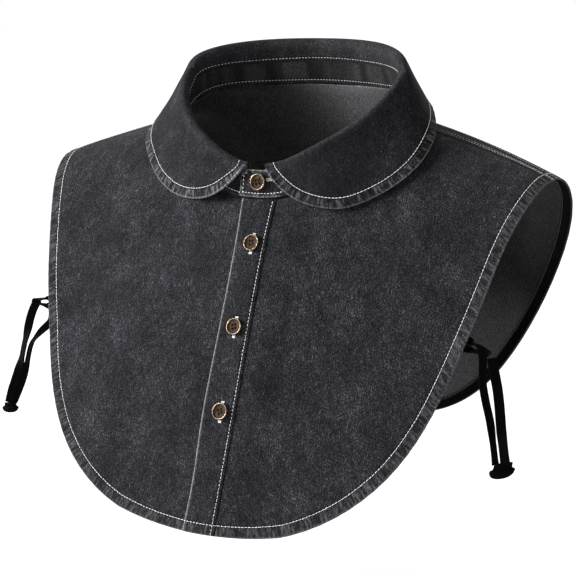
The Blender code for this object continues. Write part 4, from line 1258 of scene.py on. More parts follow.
@dataclass
class BackBib(Bib):
    """The back, with a black facing turned in along its hem and armholes."""

    facing_cloth: float = 1.0 * MM
    facing_width: float = 7.0 * MM
    facing_inset: float = 0.8 * MM
    facing_end_share: float = 0.0008

    def turns(self, spread: Array) -> tuple[Array, Array]:
        """Neck and edge turns, from the left shoulder to the right."""
        shoulder = self.form.shoulder_turn()
        return shoulder + (TURN - 2 * shoulder) * spread, self.form.tip_turn * (1 - 2 * spread)

    def painted_light_inside(self, out: Array, down: Array) -> Array:
        """Painted light on the inside: paler beside the neck on the left and low on the back, where
        light falls in.
        """
        beside = hump(out, 0.018, 0.040) * (1 - smooth_step(-down, 0.03, 0.10))
        return 0.72 * beside + 0.50 * smooth_step(-down, 0.12, 0.17)

    def build(self, finishes: Finishes) -> Object:
        """The back as a closed shell."""
        rows = np.array(HEM_ROWS) * MM
        points, normals, out, down, from_edge, along = self.laid(rows, self.body_rows)
        uneven = 0.5 * MM * wander(out / 0.035 + 40, 71)
        uneven = uneven * wander(down / 0.050 + out / 0.070 + 40, 72)
        height = self.edge.relief(from_edge, along) * 0.7 + uneven
        thick = self.cloth / 2 * edge_round(from_edge, self.cloth / 2)
        grid = ShellGrid(
            points + normals * (thick + height)[..., None],
            points + normals * (np.minimum(height, 0.15 * MM) * 0.5 - thick)[..., None],
            np.stack([out, down], axis=-1),
            self.edge.fade(from_edge, along),
            # painted shade in the roping's hollows and the groove
            self.edge.hollow(from_edge, along),
            self.edge.places(from_edge, along),
            self.painted_light_inside(out, down),
        )
        return grid.build(self.name, finishes.denim, finishes.inside)

    def facing(self, finishes: Finishes) -> Object:
        """The facing as a closed shell against the inside of the back."""
        distances = np.linspace(self.facing_width, self.facing_inset, 12)
        laid = self.laid(distances, 0, self.facing_end_share)
        points, normals, _, _, from_edge, along = laid
        border = np.minimum(from_edge - self.facing_inset, self.facing_width - from_edge)
        full = edge_round(np.maximum(border, 0.0), self.facing_cloth / 2)
        roped = 0.16 * MM * wander((along + from_edge) / (3.1 * MM), 31)
        roped = roped * smooth_step(border, 0.0, 1.5 * MM)
        middle = self.cloth / 2 + self.form.seam_gap + self.facing_cloth / 2
        half = self.facing_cloth / 2 * full
        grid = ShellGrid(
            points - normals * (middle - half)[..., None],
            points - normals * (middle + half + roped)[..., None],
            np.stack([along, from_edge], axis=-1),
            0.25 * (1 - full),
            # painted shade in the hollows of the roping
            np.clip(-roped / (0.2 * MM), 0.0, 1.0),
        )
        return grid.build("back_facing_strip", finishes.facing, finishes.facing)


@dataclass
class Placket:
    """The button strip: a folded strip with one free edge and one edge sewn to the left front."""

    form: WornForm
    front: FrontBib
    cloth: float = 1.2 * MM
    sewn_out: float = 15.2 * MM
    stitch_out: float = 13.7 * MM
    free_edge: Pairs = (
        (0.0, -0.0098), (0.12, -0.0076), (0.30, -0.0071), (0.48, -0.0080), (0.68, -0.0086),
        (0.86, -0.0072), (1.0, -0.0080),
    )
    edge: TurnedEdge = TurnedEdge(seed=41)

    def free_out(self, share: Array) -> Array:
        """Out of the free edge, by the share of the way from the neck to the hem."""
        shares, outs = np.array(self.free_edge).T
        return curve_through(shares, outs, share, flat_start=False)

    def turns(self, out: Array) -> tuple[Array, Array]:
        """Neck and edge turns of places this far out."""
        form = self.form
        return np.arcsin(out / form.seam_half_width), np.arcsin(out / form.front_reach[0])

    def build(self, finishes: Finishes) -> Object:
        """The placket as a closed shell on the left front."""
        body = np.linspace(0.0, 1.0, 330)[:-1] * 0.985
        lengths = np.concatenate([body, 1 - 0.015 * (np.arange(17, -1, -1) / 17) ** 1.5])
        free = self.free_out(lengths[:, None])
        sides = np.array([0, 0.15, 0.4, 0.8, 1.3, 1.9, 2.6]) * MM
        width = self.sewn_out - free
        middle = np.linspace(0.0, 1.0, 18)[None, 1:-1]
        middle = (sides[-1] + (width - 2 * sides[-1]) * middle) / width
        across = np.hstack([sides / width, middle, 1 - sides[::-1] / width])
        out = free + width * across
        neck, edge = self.turns(out)
        spots = (neck, edge, np.broadcast_to(lengths[:, None], out.shape), True)
        points, normals = self.form.bib(*spots), self.form.bib_normals(*spots)
        down = self.form.flat_place(*spots)[1]
        from_bottom = self.form.outer_edge(edge, True)[1] - down
        from_free, from_sewn = out - free, self.sewn_out - out
        border = np.minimum(np.minimum(from_free, from_sewn), from_bottom)
        half = self.cloth / 2 * edge_round(border, self.cloth * 0.8)
        row = self.stitch_out
        groove = hump(out, row, 0.5 * MM)
        puff = smooth_step(from_free, 0.0, 1.8 * MM) * (1 - smooth_step(out, row - 2.5 * MM, row))
        height = 0.22 * MM * puff - 0.28 * MM * groove + self.edge.relief(from_bottom, out)
        height += 0.14 * MM * wander(down / (3.6 * MM), 45) * hump(out, row, 1.6 * MM)
        height += 0.18 * MM * wander(down / 0.016 + 20, 46) * puff
        height -= 0.85 * MM * (1 - smooth_step(from_sewn, 0.2 * MM, 1.9 * MM))
        rim = 1.15 * hump(from_free, 0.0, 1.0 * MM)
        rim = rim * (0.85 + 0.15 * wander(down / (2.4 * MM), 47))
        ridge = 0.20 * hump(from_sewn, 0.5 * MM, 0.9 * MM)
        ridge = ridge * (0.7 + 0.3 * wander(down / (3.0 * MM), 48))
        at_hem = self.edge.fade(from_bottom, out) * (from_bottom < 8 * MM)
        near = self.front.lap + self.cloth / 2 + self.form.seam_gap + self.cloth / 2
        grid = ShellGrid(
            points + normals * (near + half + height)[..., None],
            points + normals * (near - half)[..., None],
            np.stack([out, down], axis=-1),
            np.clip(rim + ridge + at_hem, 0.0, 1.0),
            # painted shade in the groove of the row of stitches
            0.8 * groove,
            self.edge.places(from_bottom, out),
        )
        return grid.build("placket_strip", finishes.denim, finishes.inside)

    def line(self, out: float, shares: Array) -> Line:
        """Points near the placket this far out, at shares of the way from the neck to the hem."""
        spots = (*self.turns(np.full_like(shares, out)), shares, True)
        normals = self.form.bib_normals(*spots)
        return self.form.bib(*spots) + normals * self.front.lap, normals


# ---- Band and leaf -------------------------------------------------------------------
@dataclass(frozen=True)
class CollarRing:
    """Frame round the neck on which the band stands and the leaf rolls."""

    form: WornForm
    band_height: float = 20.5 * MM
    lap_step: float = 2.5 * MM
    lap_turns: tuple[float, float] = (20.0, 60.0)
    foot_side: float = 1.3 * MM
    foot_front: float = 1.8 * MM
    foot_turns: tuple[float, float] = (20.0, 80.0)
    foot_lap: float = 0.30

    def lap_out(self, turn: Array) -> Array:
        """How far the band's outer end stands out, by the turn from its under end."""
        return self.lap_step * (1 - smooth_step(360.0 - np.degrees(turn), *self.lap_turns))

    def frame(self, turn: Array) -> tuple[Array, Array, Array]:
        """Seam point, upward and outward directions of the band."""
        ring, step = self.form.ring, 1e-3
        seam = ring(-turn, fold=False)
        up = unit(ring(-turn, fold=True) - seam)
        along = unit(ring(-turn - step, fold=False) - ring(-turn + step, fold=False))
        outward = unit(np.cross(up, along))
        return seam + outward * self.lap_out(turn)[..., None], up, outward

    def foot(self, turn: Array) -> Array:
        """Gap along the band from the neck seam."""
        seam_turn = np.degrees(np.minimum(np.abs(turn), np.abs(TURN - turn)))
        at_side = smooth_step(seam_turn, *self.foot_turns)
        gap = self.foot_front + (self.foot_side - self.foot_front) * at_side
        return gap + self.foot_lap * self.lap_out(turn)


@dataclass
class Neckband:
    """The stand: a strip round the neck, whose wearer's-left end buttons over the other."""

    ring: CollarRing
    cloth: float = 2.2 * MM
    end_out: float = 12.3 * MM
    corner: float = 4.5 * MM
    stitch_inset: float = 2.7 * MM
    edge: TurnedEdge = TurnedEdge(
        width=2.7 * MM, rope_length=1.7 * MM, rope_height=0.26 * MM, slant=0.2,
        groove_depth=0.28 * MM, groove_width=0.45 * MM, worn_rope=0.08, worn_rim=0.3, seed=51,
    )

    @property
    def ends(self) -> tuple[float, float]:
        """Turns of the under end and of the outer end."""
        reach = math.asin(self.end_out / self.radius)
        return -reach, TURN + reach

    @property
    def radius(self) -> float:
        """Distance round the neck for a turn of one radian."""
        return self.ring.form.seam_half_width

    def top(self, from_end: Array) -> Array:
        """Height of the band's top above the seam, lower at its rounded ends."""
        inside = np.clip(self.corner - from_end, 0.0, self.corner)
        return self.ring.band_height - (self.corner - np.sqrt(self.corner**2 - inside**2))

    def border(self) -> Array:
        """Distance along and height of the border, from the outer end's foot over the top."""
        (first, last), radius = self.ends, self.radius
        turns = np.linspace(first, last, 3000)
        top = self.top(np.minimum(turns - first, last - turns) * radius)
        foot = self.ring.foot(turns)
        side = np.linspace(foot[-1], top[-1], 60)
        lines = (
            (turns * radius, foot), (np.full(60, last * radius), side),
            (turns[::-1] * radius, top[::-1]), (np.full(60, first * radius), side[::-1]),
        )
        return np.vstack([np.stack(line, axis=-1) for line in lines])

    def build(self, finishes: Finishes) -> Object:
        """The band as a closed shell."""
        (first, last), radius = self.ends, self.radius
        close = [0, 0.12, 0.3, 0.55, 0.85, 1.2, 1.6, 2.05]
        near = np.concatenate([close, np.arange(2.5, 14, 0.5)]) * MM / radius
        between = np.linspace(first + near[-1], last - near[-1], 420)[1:-1]
        turn = np.concatenate([first + near, between, last - near[::-1]])[None, :]
        from_end = np.minimum(turn - first, last - turn) * radius
        foot = self.ring.foot(turn)
        height = self.top(from_end) - foot
        sides = np.array([0, 0.12, 0.3, 0.6, 1.0, 1.4, 1.9, 2.3, 2.7, 3.1, 3.7, 4.4])[:, None] * MM
        middle = np.linspace(0.0, 1.0, 14)[1:-1, None]
        middle = (sides[-1] + (height - 2 * sides[-1]) * middle) / height
        rise = foot + height * np.vstack([sides / height, middle, 1 - sides[::-1] / height])
        turn = np.broadcast_to(turn, rise.shape)
        place = np.stack([turn * radius, rise], axis=-1)
        from_border, along = nearest_on_line(place, self.border())
        half = self.cloth / 2 * edge_round(from_border, self.cloth * 0.45)
        near_end = 1 - smooth_step((last - turn) * radius, 30 * MM, 40 * MM)
        roped = self.edge.relief(from_border, along) * (0.35 + 0.65 * near_end)
        seam_turn = np.degrees(turn)
        behind = smooth_step(seam_turn, 80, 120) * (1 - smooth_step(seam_turn, 240, 280))
        folds = wander(turn * radius / 0.0065 + 9, 55) * behind
        folds = folds * smooth_step(from_border, 1.5 * MM, 5 * MM)
        seam, up, outward = self.ring.frame(turn)
        base = seam + up * rise[..., None]
        inner_rows = 0.20 * MM * hump(from_border, self.stitch_inset, 0.5 * MM)
        fade = self.edge.fade(from_border, along) * (0.4 + 0.6 * near_end)
        # painted shade in the roping's hollows, the groove and the troughs of the folds
        hollow = self.edge.hollow(from_border, along) + 0.5 * np.clip(-folds, 0, 1)
        grid = ShellGrid(
            base + outward * (half + roped)[..., None],
            base - outward * (half - inner_rows + 0.45 * MM * folds)[..., None],
            place,
            np.clip(fade + 0.18 * np.clip(folds, 0, 1), 0, 1),
            np.clip(hollow, 0, 1),
            self.edge.places(from_border + 8 * MM * (1 - near_end), along),
        )
        return grid.build("neckband_stand", finishes.collar, finishes.inside)

    def line(self, turn: Array, rise: Array | float, inside: bool = False) -> Line:
        """Points near the band along a row, and directions off its outer or inner face."""
        seam, up, outward = self.ring.frame(turn)
        points = seam + up * (np.zeros_like(turn) + rise)[..., None]
        return points, -outward if inside else outward

    def tab_line(self) -> Line:
        """The row inside the buttoned end: up its side and round its corner."""
        (_, last), inset = self.ends, self.stitch_inset
        foot = float(self.ring.foot(np.array([last]))[0]) + inset
        shoulder = self.ring.band_height - self.corner
        angle = np.linspace(0.0, math.radians(75), 20)[1:]
        arc = self.corner - inset
        from_end = np.concatenate([np.full(40, inset), self.corner - arc * np.cos(angle)])
        rise = np.concatenate([np.linspace(foot, shoulder, 40), shoulder + arc * np.sin(angle)])
        return self.line(last - from_end / self.radius, rise)


LEAF_ROWS = (
    12, 10.5, 9.3, 8.4, 7.7, 7.1, 6.7, 6.4, 6.1, 5.6, 5.0, 4.3, 3.6, 2.9, 2.2, 1.6, 1.1, 0.7,
    0.35, 0.12, 0,
)  # distances from the free edge, in mm


@dataclass
class CollarLeaf:
    """The fall of the collar: it rises inside the band, rolls over, and falls to a round edge."""

    ring: CollarRing
    cloth: float = 2.0 * MM
    end_out: float = 7.4 * MM
    foot_gap: float = 0.4 * MM
    roll: tuple[float, float] = (1.4 * MM, 2.6 * MM)  # at the front ends, elsewhere
    roll_turns: tuple[float, float] = (8.0, 30.0)
    hollow: float = 0.8 * MM
    full_fall: float = 45 * MM
    centre_down: float = 0.030
    edge_turns: Numbers = (9, 25, 42, 60, 76, 92, 107, 124, 150, 180)
    fold_turns: Numbers = (5.2, 17, 33, 53, 72, 90, 106, 123, 150, 180)
    right_reach: Numbers = (
        0.0560, 0.0795, 0.0907, 0.0976, 0.1038, 0.1095, 0.0980, 0.0890, 0.0780, 0.0720
    )
    left_reach: Numbers = (
        0.0560, 0.0779, 0.0919, 0.0997, 0.1063, 0.1080, 0.0980, 0.0890, 0.0780, 0.0720
    )
    heights: Numbers = (
        0.0145, 0.0065, 0.0042, 0.0032, 0.0034, 0.0048, 0.0055, 0.0050, 0.0042, 0.0040
    )
    columns: int = 780
    edge: TurnedEdge = TurnedEdge(
        width=6.4 * MM, rope_length=2.6 * MM, rope_height=0.40 * MM, slant=0.1,
        groove_depth=0.30 * MM, seed=81,
    )

    def free_edge(self, turn: Array) -> Array:
        """Points of the free edge, by the turn at the fold."""
        form = self.ring.form
        on_left = np.degrees(turn) > 180.0
        folded = np.where(on_left, 360.0 - np.degrees(turn), np.degrees(turn))
        around = curve_through(self.fold_turns, self.edge_turns, folded, flat_start=False)
        right, left, off = (
            curve_through(self.edge_turns, values, around, flat_start=False, flat_end=True)
            for values in (self.right_reach, self.left_reach, self.heights)
        )
        reach = np.where(on_left, left, right)
        out = reach * np.sin(np.radians(around))
        down = self.centre_down + reach * np.cos(np.radians(around))
        points = form.sheet(out, down) + form.sheet_normal(out, down) * off[..., None]
        points[..., 2] += form.rise_near(out, down)
        points[..., 0] *= np.where(on_left, 1.0, -1.0)
        return points

    def turns(self) -> Array:
        """Turns of the columns, evenly apart by the mean length of the fold and the free edge."""
        first = math.asin(self.end_out / self.ring.form.fold_half_width)
        turns = np.linspace(first, TURN - first, 2400)
        length = walked(self.free_edge(turns)) + walked(self.ring.form.ring(-turns, fold=True))
        return np.interp(np.linspace(0.0, length[-1], self.columns), length, turns)

    def section(self, turn: Array) -> tuple[Array, Array, Array]:
        """Rows of the middle surface, the directions off it, and what is left of its fall.

        Args:
            turn: Turns at the fold.

        Returns:
            Grids of points, of directions and of distances from the free edge.
        """
        form, falls = self.ring.form, np.array(LEAF_ROWS) * MM
        seam, up, outward = self.ring.frame(turn)
        from_front = np.degrees(np.minimum(turn, TURN - turn))
        at_end, elsewhere = self.roll
        wider = smooth_step(from_front, *self.roll_turns)
        radius = (at_end + (elsewhere - at_end) * wider)[..., None]
        fold = form.ring(-turn, fold=True) + outward * self.ring.lap_out(turn)[..., None]
        foot = seam + up * (self.ring.band_height + self.foot_gap)
        stand = fold - up * radius
        rows = [foot + (stand - foot) * share for share in (0.0, 0.06, 0.2, 0.45, 0.7, 0.9)]
        away = [-outward for _ in rows]
        for lean_turn in np.radians(np.linspace(180, 15, 10)):
            lean = outward * math.cos(lean_turn) + up * math.sin(lean_turn)
            rows.append(fold + (outward - up + lean) * radius)
            away.append(lean)
        start = fold + (outward * 2 - up) * radius
        fall = self.free_edge(turn) - start
        length = np.linalg.norm(fall, axis=-1, keepdims=True)
        inward = -unit(np.cross(np.cross(fall, outward), fall))
        most = 0.85  # of a short fall, for the rows near its edge
        body = np.linspace(0.0, 1.0, 22)[:-1, None, None]
        body = body * (1 - np.minimum(falls[0] / length, most))
        rest = falls[:, None, None]
        hem = 1 - np.minimum(rest / length, most * rest / falls[0])
        share = np.concatenate([body, hem])
        bow = self.hollow * np.clip(length / self.full_fall, 0.0, 1.0) * np.sin(np.pi * share)
        points = np.concatenate([np.stack(rows), start + fall * share + inward * bow])
        normals = -unit(np.cross(np.gradient(points, axis=0), np.gradient(points, axis=1)))
        normals[: len(rows)] = np.stack(away)
        far = np.full((len(rows), *turn.shape), 1.0)
        return points, normals, np.concatenate([far, ((1 - share) * length)[..., 0]])

    def build(self, finishes: Finishes) -> Object:
        """The leaf as a closed shell."""
        turn = self.turns()
        points, normals, fall_left = self.section(turn)
        spread = np.linspace(0, 1, len(turn))
        line = self.free_edge(np.interp(np.linspace(0, 1, 3200), spread, turn))
        from_edge, along = nearest_on_line(points, line)
        rolled = fall_left >= 1.0
        from_edge = np.where(rolled, 1.0, from_edge)
        ends = np.minimum(walked(line)[-1] - along, along)
        half = self.cloth / 2 * edge_round(from_edge, self.cloth * 0.5)
        length = np.where(rolled, 0.0, fall_left).max(axis=0)[None, :]
        relief = self.edge.relief(from_edge, along) * smooth_step(length, 4 * MM, 12 * MM)
        soft = 0.45 * MM * wander(along / 0.037 + 7, 86)
        soft = soft * wander(fall_left / 0.021 + along / 0.090 + 7, 87)
        relief = relief + soft * smooth_step(from_edge, 6 * MM, 16 * MM) * ~rolled
        steps = np.linalg.norm(np.diff(points, axis=0, prepend=points[:1]), axis=-1)
        down = np.cumsum(steps, axis=0)
        around = np.broadcast_to(walked(points[20])[None, :] * 1.2, down.shape)
        # paler along the fold
        fold_paler = 0.035 * hump(down, float(np.median(down[11])), 3.2 * MM)  # on the fold
        fade = self.edge.fade(from_edge, along) * (ends > 0.5 * MM) + fold_paler
        # painted shade over the front part of the leaf on the wearer's left
        leaf_front_painted_shade = 0.5 * smooth_step(np.degrees(turn), 292, 318)[None, :]
        grid = ShellGrid(
            points + normals * (half + relief)[..., None],
            points - normals * (half - 0.4 * relief)[..., None],
            np.stack([around, down], axis=-1),
            np.clip(fade, 0.0, 1.0),
            # painted shade: the roping's hollows, the groove and the shaded front part
            np.maximum(self.edge.hollow(from_edge, along), leaf_front_painted_shade) * ~rolled,
            self.edge.places(from_edge, along),
        )
        return grid.build("collar_fall", finishes.collar, finishes.collar)

    def stitch_line(self, inset: float) -> Line:
        """Points on the leaf this far inside its ends and free edge, and directions off it."""
        turn = self.turns()
        points, normals, _ = self.section(turn)
        points, normals = points[14:], normals[14:]
        line = np.vstack([points[:, 0], self.free_edge(turn), points[::-1, -1]])
        numbers = np.arange(len(line))
        steps = np.interp(np.linspace(0, 1, 9000), np.linspace(0, 1, len(line)), numbers)
        line = np.stack([np.interp(steps, numbers, column) for column in line.T], axis=1)
        away = nearest_on_line(points, line)[0] - inset
        past = away > 0
        high, wide = past.shape
        spots = []
        for row in range(high):
            spots += [(row, np.argmax(past[row])), (row, wide - 1 - np.argmax(past[row, ::-1]))]
        spots += [(high - 1 - np.argmax(past[::-1, column]), column) for column in range(wide)]
        rows, columns = np.array([spot for spot in spots if past[spot]]).T
        at, faces = points[rows, columns], normals[rows, columns]
        order = np.argsort(nearest_on_line(at, line)[1], kind="stable")
        return spread_evenly(np.hstack([at[order], faces[order]]), 1400, 25)


# ---- Buttons -------------------------------------------------------------------------
def add_thread(work: bmesh.types.BMesh, line: Array, radius: float, sides: int = 8) -> None:
    """Adds a capped round thread along a line.

    Args:
        work: Where its faces go.
        line: Points of the thread's middle, nowhere upright.
        radius: The thread's radius.
        sides: Sides of its section.
    """
    along = unit(np.gradient(line, axis=0))
    side = unit(np.cross(along, (0.0, 0.0, 1.0)))
    up = np.cross(side, along)
    turns = (TURN * np.arange(sides) / sides)[:, None]
    offsets = side[:, None] * np.cos(turns) + up[:, None] * np.sin(turns)
    add_rings(work, line[:, None] + radius * offsets)


@dataclass
class Button:
    """A four-hole button: a horn dish held in a brass rim, sewn on with thread."""

    name: str
    place: Array
    normal: Array
    spin: float
    radius: float = 5.5 * MM
    thickness: float = 2.6 * MM
    rim: float = 0.95 * MM
    dish: float = 0.8 * MM
    hole_radius: float = 0.85 * MM
    hole_pitch: float = 2.4 * MM
    gap: float = 0.3 * MM
    sides: int = 72

    def turned(self, profile: list[tuple[float, float]], joined: bool) -> bmesh.types.BMesh:
        """A closed solid of revolution about +Z, from a profile of radius and height."""
        work = bmesh.new()
        angles = [TURN * side / self.sides for side in range(self.sides)]
        rings = []
        for radius, height in profile:
            around = angles if radius else [0.0]
            rings.append([(radius * math.cos(a), radius * math.sin(a), height) for a in around])
        add_rings(work, rings, joined)
        bmesh.ops.recalc_face_normals(work, faces=work.faces)
        return work

    def rim_profile(self) -> list[tuple[float, float]]:
        """Section of the brass rim, a bead that rolls over the dish's edge."""
        bead, top, inner = self.rim / 2, self.thickness, self.radius - self.rim
        section = [(self.radius * 0.80, 0.0), (self.radius * 0.93, 0.25 * MM)]
        section.append((self.radius, top * 0.45))
        for angle in map(math.radians, range(0, 181, 30)):
            spot = self.radius - bead + bead * math.cos(angle), top - bead + bead * math.sin(angle)
            section.append(spot)
        return section + [(inner, top - self.dish - 0.25 * MM), (inner - 0.4 * MM, 0.0)]

    def dish_profile(self) -> list[tuple[float, float]]:
        """Section of the horn dish, hollowed towards its middle."""
        reach, top = self.radius - self.rim - 0.02 * MM, self.thickness - self.dish
        shares = (0.0, 0.35, 0.6, 0.8, 0.92, 1.0)
        tops = [(reach * share, top - 0.35 * MM * (1 - share**2)) for share in shares]
        return tops + [(reach, 0.4 * MM), (0.0, 0.4 * MM)]

    def to_place(self) -> Matrix:
        """Turns +Z to the cloth's direction and moves onto the cloth."""
        stand = Vector(self.normal).to_track_quat("Z", "Y").to_matrix().to_4x4()
        spot = Vector(self.place) + Vector(self.normal) * self.gap
        return Matrix.Translation(spot) @ stand @ Matrix.Rotation(self.spin, 4, "Z")

    def hole(self, corner: int) -> tuple[float, float]:
        """Middle of one of the four holes."""
        angle, reach = math.pi / 4 + corner * math.pi / 2, self.hole_pitch / math.sqrt(2)
        return reach * math.cos(angle), reach * math.sin(angle)

    def body(self, finishes: Finishes) -> Object:
        """The rim and the drilled dish as one piece."""
        blank, pins = f"{self.name}_dish", f"{self.name}_pins"
        dish = link(mesh_from(self.turned(self.dish_profile(), False), blank), blank)
        drill, size = bmesh.new(), {"radius1": self.hole_radius, "radius2": self.hole_radius}
        for corner in range(4):
            spot = Matrix.Translation((*self.hole(corner), 0.0))
            size.update(depth=4 * self.thickness, matrix=spot)
            bmesh.ops.create_cone(drill, cap_ends=True, segments=20, **size)
        cutter = link(mesh_from(drill, pins), pins)
        cut = dish.modifiers.new("holes", "BOOLEAN")
        cut.object, cut.operation = cutter, "DIFFERENCE"
        work = bmesh.new()
        work.from_object(dish, bpy.context.evaluated_depsgraph_get())
        # the walls of the holes get the near-black copy, painted shade; the rest of the dish gets
        # the horn
        for face in work.faces:
            spot = face.calc_center_median()
            nearest = min(math.dist(self.hole(corner), spot[:2]) for corner in range(4))
            face.material_index = 2 if nearest < self.hole_radius * 1.02 else 1
        work.from_mesh(mesh_from(self.turned(self.rim_profile(), True), f"{self.name}_rim"))
        work.transform(self.to_place())
        for left_over in (dish, cutter):
            bpy.data.objects.remove(left_over)
        made = mesh_from(work, self.name, finishes.brass, finishes.horn, finishes.hole)
        made.set_sharp_from_angle(angle=math.radians(38))
        return link(made, self.name)

    def threads(self, finishes: Finishes) -> Object:
        """Two crossed bars of thread between the holes."""
        work, share = bmesh.new(), np.arange(13) / 12
        low = self.thickness - self.dish - 0.95 * MM
        for start, end, lift in ((0, 2, 0.22), (1, 3, 0.40)):
            first, last = np.array(self.hole(start)), np.array(self.hole(end))
            flat = first + (last - first) * share[:, None]
            height = low + (0.95 + lift) * MM * np.sin(np.pi * share) ** 0.5
            add_thread(work, np.column_stack([flat, height]), 0.11 * MM)
        work.transform(self.to_place())
        name = f"{self.name}_thread"
        return link(mesh_from(work, name, finishes.button_thread), name)


# ---- Tapes ---------------------------------------------------------------------------
@dataclass(frozen=True)
class Tape:
    """A length of flat woven tape with slightly thicker selvedges."""

    width: float
    thickness: float = 1.2 * MM

    def build(self, name: str, line: Array, across: Array, finishes: Finishes) -> Object:
        """The tape as a closed shell.

        Args:
            name: The piece's name.
            line: Points of its middle.
            across: The direction of its width at each point.
            finishes: The materials.

        Returns:
            The piece.
        """
        along = unit(np.gradient(line, axis=0))
        face = unit(np.cross(along, across))
        across = np.cross(face, along)
        rim = np.array([-1, -0.985, -0.94, -0.86])
        shares = np.concatenate([rim, np.linspace(-0.72, 0.72, 7), -rim[::-1]])
        aside = (shares * self.width / 2)[:, None]
        rounded = edge_round((1 - np.abs(shares)) * self.width / 2, self.thickness / 2)
        selvedge = 1 - 0.22 * (1 - smooth_step(np.abs(shares), 0.62, 0.80))
        length = walked(line)
        ends = np.minimum(length, length[-1] - length)[None, :]
        half = (self.thickness / 2 * rounded * selvedge)[:, None]
        half = half * edge_round(ends, self.thickness / 3)
        place = np.stack(np.broadcast_arrays(aside, length[None, :]), axis=-1)
        middle = line[None] + across[None] * aside[..., None]
        offset, nothing = face[None] * half[..., None], np.zeros(half.shape)
        grid = ShellGrid(middle + offset, middle - offset, place, nothing, nothing)
        return grid.build(name, finishes.tape, finishes.tape)


class Side(Enum):
    """The wearer's two sides, as signs of the out axis."""

    LEFT = 1.0
    RIGHT = -1.0


@dataclass
class SideLoop:
    """A loop of tape whose ends lie side by side behind a front's hem."""

    form: WornForm
    side: Side
    down: float
    tip: Spot
    width: float = 4.8 * MM
    thickness: float = 1.5 * MM
    sewn: float = 6.2 * MM
    leg_spread: float = 5.4 * MM
    tip_spread: float = 2.9 * MM
    turned_share: float = 0.45
    inside: float = (0.6 + 1.0 + 0.5 + 0.75) * MM  # half the cloth, hem, gap and half the tape

    def behind_hem(self, down: float, in_from_edge: float) -> Array:
        """A point of tape that lies flat on the inside of the hem."""
        turns = np.linspace(0.3, self.form.tip_turn, 400)
        edge_out, edge_down = self.form.outer_edge(turns, True)
        out = float(np.interp(-down, -edge_down, edge_out)) - in_from_edge
        place = self.form.sheet(out, down) - self.form.sheet_normal(out, down) * self.inside
        return place * (self.side.value, 1, 1)

    def build(self, finishes: Finishes) -> Object:
        """The loop, on edge at its tip."""
        side, radius = self.side.value, self.tip_spread / 2
        centre = np.array(self.tip) - (side * radius, 0.0, 0.0)
        legs = []
        for upper in (1, -1):
            down = self.down - upper * self.leg_spread / 2
            raw_end, at_edge = (self.behind_hem(down, inside) for inside in (self.sewn, 0.0))
            tip = centre + (0.0, 0.0, upper * radius)
            legs.append([raw_end, at_edge, at_edge + (tip - at_edge) * self.turned_share, tip])
        above, below = legs
        angles = np.radians((60, 30, 0, -30, -60))[:, None]
        arc = np.cos(angles) * (side, 0.0, 0.0) + np.sin(angles) * (0.0, 0.0, 1.0)
        control = np.vstack([above, centre + radius * arc, below[::-1]])
        down_edge = unit(below[1] - above[1])
        to_back = np.array([0.0, 1.0, 0.0])
        across = [down_edge] * 2 + [to_back] * (len(control) - 4) + [-down_edge] * 2
        rows = route(np.hstack([control, across]), 120)
        name = f"hem_loop_{self.side.name.lower()}"
        return Tape(self.width, self.thickness).build(name, rows[:, :3], rows[:, 3:], finishes)


@dataclass
class TieStrand:
    """One strand of a tie: limp tape from a side loop down to the tie's end."""

    side: Side
    place: str  # rear or fore
    width: float
    points: tuple[tuple[int, int, int], ...]  # in tenths of a millimetre
    twist: float  # degrees about the upright at its most twisted stretch
    twisted: tuple[float, float]  # shares of its length between which it is twisted
    across: float = 31.0  # degrees from +X, where it hangs flat

    @property
    def line(self) -> Array:
        """Its route in metres."""
        return np.array(self.points) / 10_000

    def build(self, finishes: Finishes) -> Object:
        """The strand as a flat tape."""
        rows = route(self.line, 90)
        share = np.linspace(0.0, 1.0, len(rows))
        start, end = self.twisted
        rise = smooth_step(share, start - 0.18, start)
        turn = self.twist * (rise * (1 - smooth_step(share, end, end + 0.18)))
        turn = np.radians(self.across + turn)
        across = np.stack([np.cos(turn), np.sin(turn), np.zeros(len(rows))], axis=-1)
        name = f"strand_{self.side.name.lower()}_{self.place}"
        return Tape(self.width).build(name, rows, across, finishes)

    def declare(self, piece: Object, ends: Sequence[Object]) -> None:
        """Works out the strand's first point and length, and keeps neither."""
        rows = route(self.line, 60)
        tuple(self.line[0].tolist())
        float(walked(rows)[-1])


@dataclass
class TieEnd:
    """The pressed end of a tie, where its two strands are fused and flare out to a lip."""

    side: Side
    middle: Spot
    lean: float
    size: float
    height: float = 7.8 * MM
    depth: float = 6.2 * MM
    turn: float = math.radians(30)
    flare: Pairs = (
        (0.0, 3.0), (0.05, 4.4), (0.12, 5.5), (0.22, 6.6), (0.35, 7.3), (0.48, 7.75), (0.60, 7.8),
        (0.68, 7.4), (0.73, 6.5), (0.80, 5.9), (0.95, 5.7), (1.22, 5.6),
    )
    sides: int = 40

    def build(self, finishes: Finishes) -> Object:
        """The end as a stack of rounded sections with a curled lip."""
        angles = np.linspace(0.0, TURN, self.sides, endpoint=False)
        rings = []
        for share, half_width in self.flare:
            half, up = half_width * MM * self.size, (share - 0.5) * self.height * self.size
            depth = self.depth / 2 * half_width / 7.8 * (1.0 if share < 0.7 else 0.45)
            across = half * np.cos(angles)
            curl = 0.35 * MM * np.cos(2 * angles) * float(hump(np.array(share), 0.6, 0.2))
            section = (across + self.lean * up, depth * np.sin(angles))
            rings.append(np.stack([*section, up + curl + self.lean * across], axis=-1))
        work = bmesh.new()
        add_rings(work, rings)
        work.transform(Matrix.Translation(self.middle) @ Matrix.Rotation(self.turn, 4, "Z"))
        name = f"fused_end_{self.side.name.lower()}"
        data = mesh_from(work, name, finishes.tape)
        layer = data.uv_layers.new(name=CLOTH_UV)
        for loop in data.loops:
            spot = data.vertices[loop.vertex_index].co - Vector(self.middle)
            layer.data[loop.index].uv = (spot.x + spot.y, spot.z)
        return link(data, name)


